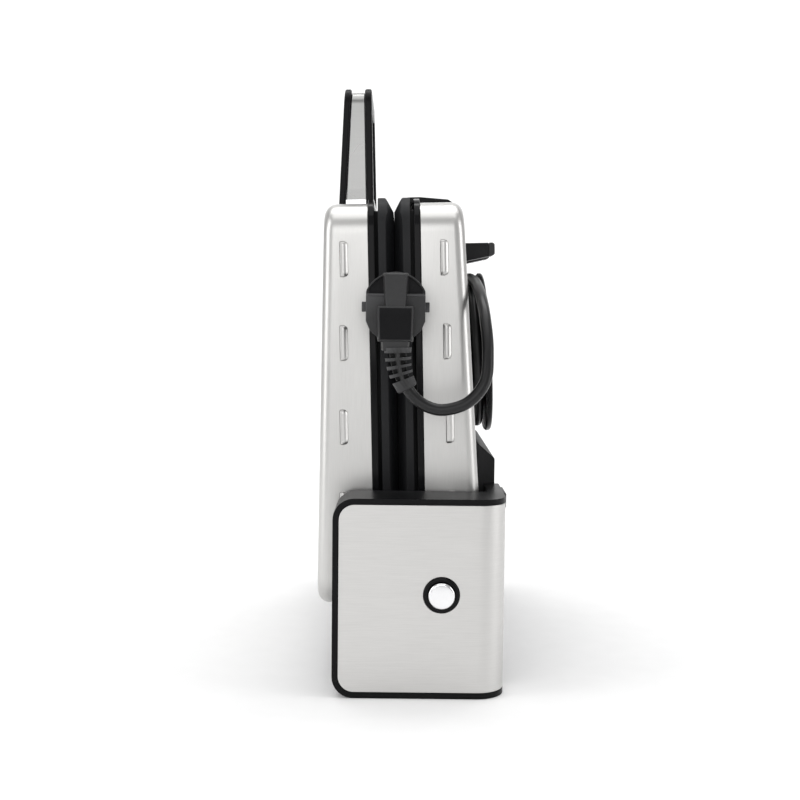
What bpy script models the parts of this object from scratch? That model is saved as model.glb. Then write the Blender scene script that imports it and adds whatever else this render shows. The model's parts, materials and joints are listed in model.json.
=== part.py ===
"""Waffle maker stored upright on its own stand.

Lengths in this file are millimetres; MM turns them into the scene's metres when a mesh is made.
World axes: +Z up, +X from the upper baking half to the lower one, -Y towards the mains plug.
Body axes: u across the seam (the lower half at +u), v = Y along the width, w from rear to front.
"""

import math

import bmesh
import bpy
from mathutils import Matrix, Vector

MM = 0.001

# Baking body, in body axes
BODY_X = -6.2
BODY_Z = 48.8
LEAN_DEG = 1.58
BODY_LENGTH = 253.2
BODY_HALF_WIDTH = 120.0
SEAM_HALF_GAP = 16.6
OUTER_REAR = 53.5
OUTER_FRONT = 43.5
SHEET = 1.2
PLAN_RADIUS = 20.0
SHELL_EDGE_RADIUS = 7.5
SHELL_REAR = -2.8
GAP = 0.3

# Seam band: glossy bezels and cast plates
BEZEL_FRONT = 256.0
BEZEL_INNER_U = 12.4
PLATE_REAR = 19.0
PLATE_FRONT = 256.6
RIM_LOW_U = 5.4
RIM_HIGH_U = 10.1
MATING_U = 0.15
WELL_FLOOR_U = 14.5
STUD_TIP_U = 5.0
PLATE_BACK_U = 17.0
CHAMFER = 10.0
STUD_ROWS = 7
STUD_COLUMNS = 4

# Louvre vents, alike on both sides of each half
VENT_POSITIONS = (58.5, 111.5, 164.8, 217.5)
VENT_LENGTH = 21.0
VENT_SLOT = 1.8

# Hinge of the upper half, in world axes
HINGE_X = -2.2
HINGE_Z = 62.0
PIN_RADIUS = 4.0

# Stand
STAND_LEFT = -47.6
STAND_RIGHT = 57.2
STAND_HEIGHT = 121.6
TOWER_INNER = 125.0
TOWER_OUTER = 159.0
TOWER_WALL = 3.0
BORDER = 3.7
CORNER_RADIUS = 13.0
WRAP_RADIUS = 17.0
FLANGE_INNER = 89.0
FLANGE_THICKNESS = 9.8
CLADDING = 1.0

# Release buttons
BUTTON_X = 18.2
BUTTON_Z = 63.6
BUTTON_RADIUS = 8.0
RING_RADIUS = 10.75
BUTTON_PROUD = 4.0

# Cord spool, on the lower half's outer face
SPOOL_V = -30.0
SPOOL_W = 155.0
FLANGE_RADIUS = 55.0
CORE_RADIUS = 36.6
CORE_WALL = 3.0
SPOOL_GAP = 10.6
SPOOL_FLANGE = 5.0
CORD_DIAMETER = 7.2
TURN_FIRST = 40.5
TURN_LAST = 51.7

# Plug, parked over the seam on the near side
PLUG_X = -11.1
PLUG_Z = 237.3
PLUG_RADIUS = 19.3
PLUG_FLANK_DEG = 24.2
PLUG_FACE_Y = -140.0
PLUG_BACK_Y = -167.0
PIN_PITCH = 19.0

# The free stretch of the cord, from the winding to the plug's relief, in world axes
LEAD_ROUTE = (
    (39.4, -60.0, 255.4),
    (40.6, -90.0, 251.8),
    (42.2, -115.0, 243.0),
    (43.7, -135.0, 228.5),
    (44.6, -148.0, 209.5),
    (42.4, -155.5, 191.5),
    (32.0, -158.0, 179.5),
    (17.5, -158.2, 175.2),
    (9.4, -158.2, 176.7),
    (3.0, -158.0, 180.3),
    (-1.6, -157.8, 185.0),
)

# The plug's strain relief, from the plug to the cord
RELIEF_ROUTE = (
    (-9.6, -158.6, 209.8),
    (-8.9, -158.4, 201.5),
    (-6.3, -158.1, 192.8),
    (-2.5, -157.9, 186.2),
)
RELIEF_ROOT_RADIUS = 7.8
RELIEF_TIP_RADIUS = 5.4

SIDES = {"left": -1, "right": 1}


# ---------------------------------------------------------------- scene and materials

for old in list(bpy.data.objects):
    bpy.data.objects.remove(old, do_unlink=True)

PARTS = bpy.data.collections.new("waffle_maker")
CUTTERS = bpy.data.collections.new("cutters")
bpy.context.scene.collection.children.link(PARTS)
bpy.context.scene.collection.children.link(CUTTERS)
CUTTERS.hide_render = True


def material(name, colour, roughness, metallic=0.0):
    made = bpy.data.materials.new(name)
    made.use_nodes = True
    shader = made.node_tree.nodes["Principled BSDF"]
    shader.inputs["Base Color"].default_value = (*colour, 1.0)
    shader.inputs["Roughness"].default_value = roughness
    shader.inputs["Metallic"].default_value = metallic
    made.diffuse_color = (*colour, 1.0)
    return made


STEEL = material("brushed_steel", (0.66, 0.66, 0.65), 0.32, 1.0)
CHROME = material("chrome", (0.86, 0.86, 0.87), 0.12, 1.0)
ZINC = material("zinc_steel", (0.5, 0.5, 0.5), 0.4, 1.0)
GLOSS_BLACK = material("gloss_black", (0.012, 0.012, 0.013), 0.16)
MATT_BLACK = material("matt_black", (0.02, 0.02, 0.021), 0.5)
CAST_DARK = material("cast_dark", (0.035, 0.036, 0.038), 0.55)
RUBBER = material("rubber", (0.02, 0.02, 0.02), 0.8)
CORD_BLACK = material("cord_black", (0.022, 0.022, 0.023), 0.6)
LAMP_RED = material("lamp_red", (0.5, 0.03, 0.02), 0.2)
LAMP_GREEN = material("lamp_green", (0.05, 0.35, 0.06), 0.2)


# ---------------------------------------------------------------- frames

BODY_FRAME = Matrix.Translation((BODY_X * MM, 0, BODY_Z * MM)) @ Matrix.Rotation(
    math.radians(-LEAN_DEG), 4, "Y"
)
DRAFT = math.atan((OUTER_REAR - OUTER_FRONT) / BODY_LENGTH)
# Turns an outline's own X, Y into u (or x) and w (or z), extruded along Y
SIDE_ON = Matrix.Rotation(math.radians(90), 4, "X")


def outer_u(w):
    """Distance of a half's outer face from the seam's middle plane."""
    return OUTER_REAR + (OUTER_FRONT - OUTER_REAR) * w / BODY_LENGTH


SPOOL_FRAME = (
    BODY_FRAME
    @ Matrix.Translation((outer_u(SPOOL_W) * MM, SPOOL_V * MM, SPOOL_W * MM))
    @ Matrix.Rotation(-DRAFT, 4, "Y")
)
# Spool axes to a turned profile's: the turning axis Z goes along the spool's own outward X
ALONG_X = Matrix.Rotation(math.radians(90), 4, "Y")


def empty(name, matrix):
    made = bpy.data.objects.new(name, None)
    made.empty_display_size = 0.02
    made.matrix_world = matrix
    PARTS.objects.link(made)
    return made


ROOT = empty("stand_and_lower_half", Matrix.Identity(4))
HINGE_MATRIX = Matrix.Translation((HINGE_X * MM, 0, HINGE_Z * MM))
LID = empty("lid_hinge_axis", HINGE_MATRIX)


def local_to(parent, matrix):
    """The matrix that an object under this parent needs to stand at `matrix` in the world."""
    anchor = HINGE_MATRIX if parent is LID else Matrix.Identity(4)
    return anchor.inverted() @ matrix


# ---------------------------------------------------------------- object makers


def add(name, data, look, parent=None, matrix=None):
    made = bpy.data.objects.new(name, data)
    PARTS.objects.link(made)
    made.parent = parent or ROOT
    made.matrix_local = local_to(made.parent, matrix or Matrix.Identity(4))
    if look:
        data.materials.append(look)
    return made


def from_bmesh(name, shape, look, parent=None, matrix=None, smooth=30):
    bmesh.ops.scale(shape, vec=(MM, MM, MM), verts=shape.verts)
    mesh = bpy.data.meshes.new(name)
    shape.to_mesh(mesh)
    shape.free()
    if smooth:
        mesh.shade_smooth()
        mesh.set_sharp_from_angle(angle=math.radians(smooth))
    return add(name, mesh, look, parent, matrix)


def box_shape(low, high):
    shape = bmesh.new()
    size = [b - a for a, b in zip(low, high)]
    middle = [(a + b) / 2 for a, b in zip(low, high)]
    bmesh.ops.create_cube(
        shape, size=1.0, matrix=Matrix.Translation(middle) @ Matrix.Diagonal((*size, 1))
    )
    return shape


def box(name, low, high, look, parent=None, matrix=None, bevel=0.0):
    shape = box_shape(low, high)
    if bevel:
        bmesh.ops.bevel(
            shape, geom=shape.edges[:], offset=bevel, segments=2, profile=0.5, affect="EDGES"
        )
    return from_bmesh(name, shape, look, parent, matrix)


def rod_shape(start, end, radius, end_radius=None, sides=24):
    shape = bmesh.new()
    start, end = Vector(start), Vector(end)
    turn = (end - start).to_track_quat("Z", "Y").to_matrix().to_4x4()
    bmesh.ops.create_cone(
        shape,
        cap_ends=True,
        segments=sides,
        radius1=radius,
        radius2=radius if end_radius is None else end_radius,
        depth=(end - start).length,
        matrix=Matrix.Translation((start + end) / 2) @ turn,
    )
    return shape


def rod(name, start, end, radius, look, end_radius=None, sides=24, parent=None, matrix=None):
    return from_bmesh(name, rod_shape(start, end, radius, end_radius, sides), look, parent, matrix)


def rounded(corners, steps=4):
    """A closed outline through (x, y, radius) corners, each rounded by an arc."""
    outline = []
    count = len(corners)
    for i, (x, y, radius) in enumerate(corners):
        here = Vector((x, y))
        before = (Vector(corners[i - 1][:2]) - here).normalized()
        after = (Vector(corners[(i + 1) % count][:2]) - here).normalized()
        if radius <= 0:
            outline.append(here)
            continue
        half = before.angle(after) / 2
        centre = here + (before + after).normalized() * radius / math.sin(half)
        first = here + before * radius / math.tan(half)
        last = here + after * radius / math.tan(half)
        sweep = (first - centre).angle_signed(last - centre)
        for step in range(steps + 1):
            arm = first - centre
            arm.rotate(Matrix.Rotation(-sweep * step / steps, 2))
            outline.append(centre + arm)
    return outline


def outline_object(name, outline, low, high, look, parent=None, matrix=None, side_on=True):
    """A flat outline extruded from low to high, made a mesh so that it can take a Boolean.

    Side on, the outline lies in X and Z and is extruded along Y; otherwise it lies in X and Y.
    """
    curve = bpy.data.curves.new(name, "CURVE")
    curve.dimensions = "2D"
    curve.fill_mode = "BOTH"
    curve.extrude = (high - low) / 2 * MM
    spline = curve.splines.new("POLY")
    spline.points.add(len(outline) - 1)
    for point, place in zip(spline.points, outline):
        point.co = (place[0] * MM, place[1] * MM, 0, 1)
    spline.use_cyclic_u = True
    middle = (low + high) / 2 * MM
    if side_on:
        placed = Matrix.Translation((0, middle, 0)) @ SIDE_ON
    else:
        placed = Matrix.Translation((0, 0, middle))
    made = add(name, curve, look, parent, (matrix or Matrix.Identity(4)) @ placed)
    return as_mesh(made, look)


def as_mesh(curve_object, look):
    """The same object as a mesh with its caps welded to its sides."""
    name = curve_object.name
    bpy.context.view_layer.update()
    graph = bpy.context.evaluated_depsgraph_get()
    mesh = bpy.data.meshes.new_from_object(curve_object.evaluated_get(graph))
    shape = bmesh.new()
    shape.from_mesh(mesh)
    bmesh.ops.remove_doubles(shape, verts=shape.verts, dist=0.00001)
    bmesh.ops.recalc_face_normals(shape, faces=shape.faces)
    shape.to_mesh(mesh)
    shape.free()
    parent, placed = curve_object.parent, curve_object.matrix_world.copy()
    bpy.data.objects.remove(curve_object, do_unlink=True)
    mesh.name = name
    if not mesh.materials and look:
        mesh.materials.append(look)
    made = bpy.data.objects.new(name, mesh)
    PARTS.objects.link(made)
    made.parent = parent
    made.matrix_local = local_to(parent, placed)
    return made


def cutter(made):
    """Takes a helper out of the parts, so that it only cuts."""
    PARTS.objects.unlink(made)
    CUTTERS.objects.link(made)
    made.hide_render = True
    made.display_type = "WIRE"
    return made


def combine(target, tool, operation="DIFFERENCE"):
    modifier = target.modifiers.new(operation.lower(), "BOOLEAN")
    modifier.operation = operation
    modifier.solver = "EXACT"
    modifier.object = cutter(tool)
    return target


def solidify(target, thickness):
    modifier = target.modifiers.new("sheet", "SOLIDIFY")
    modifier.thickness = thickness * MM
    modifier.offset = -1.0
    modifier.use_even_offset = True
    return target


def turned(name, profile, look, parent=None, matrix=None, steps=32):
    """A solid of revolution round Z from (radius, height) points, outer side running down."""
    shape = bmesh.new()
    corners = [shape.verts.new((radius, 0, height)) for radius, height in profile]
    for first, second in zip(corners, corners[1:] + corners[:1]):
        if first.co.x > 0 or second.co.x > 0:
            shape.edges.new((first, second))
    made = from_bmesh(name, shape, look, parent, matrix, smooth=0)
    screw = made.modifiers.new("turn", "SCREW")
    screw.axis = "Z"
    screw.steps = steps
    screw.render_steps = steps
    screw.use_merge_vertices = True
    screw.merge_threshold = 0.00005
    return made


def tube(name, points, radius, look, parent=None, matrix=None, resolution=2, end_radius=None):
    curve = bpy.data.curves.new(name, "CURVE")
    curve.dimensions = "3D"
    curve.bevel_depth = radius * MM
    curve.bevel_resolution = resolution
    curve.use_fill_caps = True
    spline = curve.splines.new("POLY")
    spline.points.add(len(points) - 1)
    taper = (end_radius or radius) / radius - 1
    for i, (point, place) in enumerate(zip(spline.points, points)):
        point.co = (*(Vector(place) * MM), 1)
        point.radius = 1 + taper * i / (len(points) - 1)
    return add(name, curve, look, parent, matrix)


def smooth_route(route, spacing):
    """Evenly spaced points along a Catmull-Rom curve through the route's points."""
    ends = [2 * Vector(route[0]) - Vector(route[1])]
    ends += [Vector(point) for point in route]
    ends.append(2 * ends[-1] - ends[-2])
    dense = []
    for a, b, c, d in zip(ends, ends[1:], ends[2:], ends[3:]):
        for step in range(20):
            t = step / 20
            dense.append(
                0.5
                * (
                    2 * b
                    + (c - a) * t
                    + (2 * a - 5 * b + 4 * c - d) * t**2
                    + (3 * b - a - 3 * c + d) * t**3
                )
            )
    dense.append(ends[-2])
    kept = [dense[0]]
    walked = 0.0
    for before, after in zip(dense, dense[1:]):
        walked += (after - before).length
        if walked >= spacing:
            kept.append(after)
            walked = 0.0
    if (kept[-1] - dense[-1]).length < spacing / 2:
        kept.pop()
    kept.append(dense[-1])
    return kept


# ---------------------------------------------------------------- the two baking halves


def shell(name, sign, parent):
    """A half's pressed steel shell: a tapered tray, open at the seam, with louvre slots."""
    low_u, high_u = sorted((sign * SEAM_HALF_GAP, sign * OUTER_REAR))
    shape = box_shape(
        (low_u, -BODY_HALF_WIDTH, SHELL_REAR), (high_u, BODY_HALF_WIDTH, BODY_LENGTH)
    )
    for corner in shape.verts:
        if corner.co.x * sign > SEAM_HALF_GAP + 1 and corner.co.z > 1:
            corner.co.x = sign * OUTER_FRONT
    across = [e for e in shape.edges if all(abs(v.normal.y) > 0.1 for v in e.verts)]
    across = [e for e in across if abs(e.verts[0].co.x - e.verts[1].co.x) > 1]
    bmesh.ops.bevel(shape, geom=across, offset=PLAN_RADIUS, segments=5, affect="EDGES", profile=0.5)
    seam = [f for f in shape.faces if all(abs(v.co.x) < SEAM_HALF_GAP + 0.1 for v in f.verts)]
    outer = [
        f
        for f in shape.faces
        if all(abs(v.co.x - sign * outer_u(v.co.z)) < 0.2 for v in f.verts)
    ]
    rims = [e for f in outer for e in f.edges]
    bmesh.ops.delete(shape, geom=seam, context="FACES")
    bmesh.ops.bevel(
        shape, geom=rims, offset=SHELL_EDGE_RADIUS, segments=3, affect="EDGES", profile=0.5
    )
    bmesh.ops.recalc_face_normals(shape, faces=shape.faces)
    made = from_bmesh(name, shape, STEEL, parent, BODY_FRAME)
    solidify(made, SHEET)
    return combine(made, vent_cutter(name, sign))


def vent_middle(sign, w):
    """The vents sit between the vertical seam and the sloping outer face."""
    return sign * (34.4 - 0.02 * (w - VENT_POSITIONS[0]))


def vent_cutter(name, sign):
    slots = bmesh.new()
    for w in VENT_POSITIONS:
        for side in SIDES.values():
            bmesh.ops.create_cube(
                slots,
                size=1.0,
                matrix=Matrix.Translation(
                    (vent_middle(sign, w) - 2.0, side * BODY_HALF_WIDTH, w)
                )
                @ Matrix.Diagonal((VENT_SLOT, 6.0, VENT_LENGTH, 1)),
            )
    return from_bmesh(name + "_slots", slots, None, ROOT, BODY_FRAME, smooth=0)


def bezel(name, sign, parent):
    """A half's glossy frame, which closes the shell's open side round the plate."""
    half = BODY_HALF_WIDTH + 0.3
    frame = rounded(
        [
            (-half, 0.5, PLAN_RADIUS),
            (half, 0.5, PLAN_RADIUS),
            (half, BEZEL_FRONT, PLAN_RADIUS + 2),
            (-half, BEZEL_FRONT, PLAN_RADIUS + 2),
        ]
    )
    window_half = BODY_HALF_WIDTH - 6
    window = rounded(
        [
            (-window_half, PLATE_REAR + 5, 3),
            (window_half, PLATE_REAR + 5, 3),
            (window_half, BEZEL_FRONT - 7, 3),
            (-window_half, BEZEL_FRONT - 7, 3),
        ]
    )
    low, high = sorted((sign * BEZEL_INNER_U, sign * (SEAM_HALF_GAP - GAP)))
    made = seam_outline(name, frame, low, high, GLOSS_BLACK, parent)
    hole = seam_outline(name + "_window", window, low - 2, high + 2, None, ROOT)
    return combine(made, hole)


# Turns an outline's own X, Y into v and w, extruded along u
ACROSS_SEAM = Matrix.Rotation(math.radians(90), 4, "Z") @ Matrix.Rotation(
    math.radians(90), 4, "X"
)


def seam_outline(name, outline, low, high, look, parent):
    placed = BODY_FRAME @ Matrix.Translation(((low + high) / 2 * MM, 0, 0)) @ ACROSS_SEAM
    half = (high - low) / 2
    return outline_object(name, outline, -half, half, look, parent, placed, side_on=False)


def plate_lines():
    """Grid lines of a baking plate along v and w, closer together over the studs' slopes."""
    half = BODY_HALF_WIDTH - 0.2
    v_lines = [-half, -half + CHAMFER]
    for low, high in ((-106.0, -4.0), (4.0, 106.0)):
        v_lines += [low] + stud_lines(low + 3, high - 3, STUD_COLUMNS) + [high]
    v_lines += [half - CHAMFER, half]
    w_low, w_high = PLATE_REAR + CHAMFER + 4, PLATE_FRONT - CHAMFER - 4
    w_lines = [PLATE_REAR, PLATE_REAR + CHAMFER, w_low]
    w_lines += stud_lines(w_low + 3, w_high - 3, STUD_ROWS)
    w_lines += [w_high, PLATE_FRONT - CHAMFER, PLATE_FRONT]
    return v_lines, w_lines


def stud_lines(low, high, count):
    pitch = (high - low) / count
    lines = [low]
    for i in range(count):
        middle = low + (i + 0.5) * pitch
        lines += [middle + side * pitch * part for side, part in ((-1, 0.3), (-1, 0.2), (1, 0.2), (1, 0.3))]
    return lines + [high]


def plate_height(v_lines, w_lines, i, j):
    """Depth of the baking face from the seam's middle plane at one crossing of the lines."""
    if i in (0, len(v_lines) - 1) or j in (0, len(w_lines) - 1):
        return RIM_LOW_U
    column = STUD_COLUMNS * 4 + 4
    in_well_v = (i - 2) % column not in (0, column - 1) and i > 2 and i < len(v_lines) - 3
    in_well_w = 2 < j < len(w_lines) - 3
    if not (in_well_v and in_well_w):
        return MATING_U
    on_stud_v = ((i - 2) % column - 2) % 4 in (1, 2) and 1 < (i - 2) % column < column - 2
    on_stud_w = (j - 4) % 4 in (1, 2) and 3 < j < len(w_lines) - 4
    return STUD_TIP_U if on_stud_v and on_stud_w else WELL_FLOOR_U


def plate(name, sign, parent):
    """A cast plate: a height field with two studded wells, closed by a rim and a flat back."""
    v_lines, w_lines = plate_lines()
    shape = bmesh.new()
    bmesh.ops.create_grid(
        shape, x_segments=len(v_lines) - 1, y_segments=len(w_lines) - 1, size=1.0
    )
    for corner in shape.verts:
        i = round((corner.co.x + 1) / 2 * (len(v_lines) - 1))
        j = round((corner.co.y + 1) / 2 * (len(w_lines) - 1))
        u = plate_height(v_lines, w_lines, i, j)
        corner.co = (sign * u, v_lines[i], w_lines[j])
    middle_w = (PLATE_REAR + PLATE_FRONT) / 2
    for depth, narrowing in ((RIM_HIGH_U, 1.0), (RIM_HIGH_U, 0.925), (PLATE_BACK_U, 1.0)):
        edge = [e for e in shape.edges if e.is_boundary]
        grown = bmesh.ops.extrude_edge_only(shape, edges=edge)["geom"]
        for corner in [g for g in grown if isinstance(g, bmesh.types.BMVert)]:
            corner.co.x = sign * depth
            corner.co.y *= narrowing
            corner.co.z = middle_w + (corner.co.z - middle_w) * narrowing
    bmesh.ops.edgeloop_fill(shape, edges=[e for e in shape.edges if e.is_boundary])
    bmesh.ops.triangulate(shape, faces=shape.faces)
    bmesh.ops.recalc_face_normals(shape, faces=shape.faces)
    made = from_bmesh(name, shape, CAST_DARK, parent, BODY_FRAME, smooth=0)
    half = BODY_HALF_WIDTH + 0.4
    rear, front = PLATE_REAR - 0.6, PLATE_FRONT + 0.6
    rounding = rounded(
        [
            (-half, rear, PLAN_RADIUS + 2),
            (half, rear, PLAN_RADIUS + 2),
            (half, front, PLAN_RADIUS + 2),
            (-half, front, PLAN_RADIUS + 2),
        ]
    )
    low, high = sorted((-sign * 2.0, sign * (PLATE_BACK_U + 2)))
    return combine(made, seam_outline(name + "_outline", rounding, low, high, None, ROOT), "INTERSECT")


def heater(name, sign, parent):
    """A hairpin heating element behind the plate, with its two ends at the rear."""
    loop = rounded([(-16, 34, 0), (-92, 34, 14), (-92, 226, 14), (92, 226, 14), (92, 34, 14), (16, 34, 0)])
    points = [(sign * 21.5, v, w) for v, w in loop]
    return tube(name, points, 3.2, ZINC, parent, BODY_FRAME, resolution=2)


def reflector(name, sign, parent):
    """A thin tray that throws the element's heat at the plate."""
    low, high = sorted((sign * 26.0, sign * 33.0))
    shape = box_shape((low, -104, 24), (high, 104, 238))
    seam_side = min(shape.faces, key=lambda f: abs(f.calc_center_median().x))
    bmesh.ops.delete(shape, geom=[seam_side], context="FACES")
    bmesh.ops.recalc_face_normals(shape, faces=shape.faces)
    made = from_bmesh(name, shape, ZINC, parent, BODY_FRAME, smooth=0)
    return solidify(made, 0.8)


for half_name, half_sign, half_parent in (("lower", 1, ROOT), ("upper", -1, LID)):
    shell(half_name + "_shell", half_sign, half_parent)
    bezel(half_name + "_bezel", half_sign, half_parent)
    plate(half_name + "_plate", half_sign, half_parent)
    heater(half_name + "_heater", half_sign, half_parent)
    reflector(half_name + "_reflector", half_sign, half_parent)

rod("thermostat", (33.4, 34, 60), (43.0, 34, 60), 11.0, MATT_BLACK, matrix=BODY_FRAME)


# ---------------------------------------------------------------- handle on the upper half

HANDLE_FOOT_W = BODY_LENGTH + GAP
HANDLE_TOP_W = 335.0
HANDLE_INNER_U = -18.6
HANDLE_INNER_RAIL = 4.7
HANDLE_OUTER_FOOT_U = -37.5
HANDLE_OUTER_TOP_U = -32.0
HANDLE_OUTER_RAIL = 4.5


def handle_path(foot_w, steps=5):
    """The handle's outer line in v and w: upright feet, legs that lean in, and a bend into the bar."""
    half = rounded(
        [
            (-54, foot_w, 0),
            (-54, 268, 20),
            (-49, HANDLE_TOP_W, 12),
            (0, HANDLE_TOP_W, 0),
        ],
        steps,
    )
    half = [point for point in half if point.x < 0]
    return half + [Vector((-point.x, point.y)) for point in reversed(half)]


def outer_rail_u(w):
    part = (w - HANDLE_FOOT_W) / (HANDLE_TOP_W - HANDLE_FOOT_W)
    return HANDLE_OUTER_FOOT_U + (HANDLE_OUTER_TOP_U - HANDLE_OUTER_FOOT_U) * part


def ribbon(name, low_u, high_u, recess, thickness, look, foot_w=HANDLE_FOOT_W):
    """A strip of the handle along its path, between two lines in u, under the path's surface."""
    path = handle_path(foot_w)
    shape = bmesh.new()
    bmesh.ops.create_grid(shape, x_segments=len(path) - 1, y_segments=1, size=1.0)
    for corner in shape.verts:
        i = round((corner.co.x + 1) / 2 * (len(path) - 1))
        before, after = path[max(i - 1, 0)], path[min(i + 1, len(path) - 1)]
        along = (after - before).normalized()
        place = path[i] - Vector((-along.y, along.x)) * recess
        u = high_u(path[i].y) if corner.co.y > 0 else low_u(path[i].y)
        corner.co = (u, place.x, place.y)
    bmesh.ops.reverse_faces(shape, faces=shape.faces)
    made = from_bmesh(name, shape, look, LID, BODY_FRAME, smooth=40)
    return solidify(made, thickness)


ribbon(
    "handle_outer_rail",
    outer_rail_u,
    lambda w: outer_rail_u(w) + HANDLE_OUTER_RAIL,
    0.0,
    11.0,
    GLOSS_BLACK,
)
ribbon(
    "handle_inner_rail",
    lambda w: HANDLE_INNER_U,
    lambda w: HANDLE_INNER_U + HANDLE_INNER_RAIL,
    0.0,
    11.0,
    GLOSS_BLACK,
    BEZEL_FRONT + GAP,
)
ribbon(
    "handle_band",
    lambda w: outer_rail_u(w) + HANDLE_OUTER_RAIL + 0.5,
    lambda w: HANDLE_INNER_U - GAP,
    2.6,
    1.4,
    STEEL,
)
ribbon(
    "handle_core",
    lambda w: outer_rail_u(w) + HANDLE_OUTER_RAIL + 0.5,
    lambda w: HANDLE_INNER_U - GAP,
    4.4,
    6.6,
    MATT_BLACK,
)


# ---------------------------------------------------------------- upper half: lamps and lid arms

LAMP_W = 226.0
for lamp_name, lamp_v, lamp_look in (("power_lamp", -9.0, LAMP_RED), ("ready_lamp", 9.0, LAMP_GREEN)):
    face_u = -outer_u(LAMP_W)
    bore = rod(
        lamp_name + "_bore",
        (face_u - 4, lamp_v, LAMP_W),
        (face_u + 8, lamp_v, LAMP_W),
        3.6,
        None,
        sides=16,
        matrix=BODY_FRAME,
    )
    combine(bpy.data.objects["upper_shell"], bore)
    rod(
        lamp_name,
        (face_u - 0.5, lamp_v, LAMP_W),
        (face_u + 6, lamp_v, LAMP_W),
        3.3,
        lamp_look,
        sides=16,
        parent=LID,
        matrix=BODY_FRAME,
    )

ARM_INNER = 121.4
ARM_OUTER = 124.4
ARM_END_X = -42.0
ARM_END_Z = 92.0
ARM_WIDTH = 9.0


def link_outline():
    """A bar with round ends, from the hinge axis to the upper half's side."""
    start, end = Vector((HINGE_X, HINGE_Z)), Vector((ARM_END_X, ARM_END_Z))
    along = (end - start).normalized() * ARM_WIDTH
    across = Vector((-along.y, along.x))
    corners = [start - along - across, end + along - across, end + along + across, start - along + across]
    return rounded([(corner.x, corner.y, ARM_WIDTH * 0.98) for corner in corners], 5)


for side_name, side in SIDES.items():
    low, high = sorted((side * ARM_INNER, side * ARM_OUTER))
    arm = outline_object(side_name + "_lid_arm", link_outline(), low, high, ZINC, LID)
    combine(
        arm,
        rod(
            side_name + "_arm_bore",
            (HINGE_X, side * 118, HINGE_Z),
            (HINGE_X, side * 128, HINGE_Z),
            PIN_RADIUS + GAP,
            None,
        ),
    )
    rod(
        side_name + "_arm_spacer",
        (ARM_END_X, side * (BODY_HALF_WIDTH + 0.2), ARM_END_Z),
        (ARM_END_X, side * (ARM_INNER - 0.2), ARM_END_Z),
        7.0,
        ZINC,
        parent=LID,
    )
    rod(
        side_name + "_hinge_pin",
        (HINGE_X, side * 120.7, HINGE_Z),
        (HINGE_X, side * 131.0, HINGE_Z),
        PIN_RADIUS,
        ZINC,
    )


# ---------------------------------------------------------------- stand


def tower_plan(side, grow=0.0):
    """The housing seen from above: a tower whose outer right edge is rounded, with its flange."""
    right = STAND_RIGHT + grow
    outer = TOWER_OUTER + grow
    outline = rounded(
        [
            (STAND_LEFT, TOWER_INNER, 0),
            (right - FLANGE_THICKNESS, TOWER_INNER, 2.0),
            (right - FLANGE_THICKNESS, FLANGE_INNER, 1.5),
            (right, FLANGE_INNER, 1.5),
            (right, outer, WRAP_RADIUS),
            (STAND_LEFT, outer, 0),
        ],
        5,
    )
    return [(x, side * y) for x, y in outline]


def front_outline(inset, left_radius, right_extra=0.0):
    """The tower's face seen side on, inset from the housing's edges."""
    left, top = STAND_LEFT + inset, STAND_HEIGHT - inset
    right = STAND_RIGHT + right_extra
    return rounded(
        [(left, inset, left_radius), (right, inset, 1.5), (right, top, 1.5), (left, top, left_radius)],
        5,
    )


def wrap_sheet(name, side, thickness, proud, look):
    """A vertical sheet over the tower's outer face that wraps round its right edge."""
    right, outer = STAND_RIGHT + proud, TOWER_OUTER + proud
    path = [Vector((STAND_LEFT - 2, outer))]
    centre = Vector((STAND_RIGHT - WRAP_RADIUS, TOWER_OUTER - WRAP_RADIUS))
    for step in range(7):
        angle = math.radians(90 - 15 * step)
        arm = Vector((math.cos(angle), math.sin(angle)))
        path.append(centre + (WRAP_RADIUS + proud) * arm)
    path.append(Vector((right, TOWER_INNER + 1 - proud)))
    shape = bmesh.new()
    bmesh.ops.create_grid(shape, x_segments=len(path) - 1, y_segments=1, size=1.0)
    for corner in shape.verts:
        i = round((corner.co.x + 1) / 2 * (len(path) - 1))
        z = STAND_HEIGHT + 5 if corner.co.y > 0 else -5
        corner.co = (path[i].x, side * path[i].y, z)
    if side > 0:
        bmesh.ops.reverse_faces(shape, faces=shape.faces)
    made = from_bmesh(name, shape, look, smooth=40)
    return solidify(made, thickness)


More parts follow.
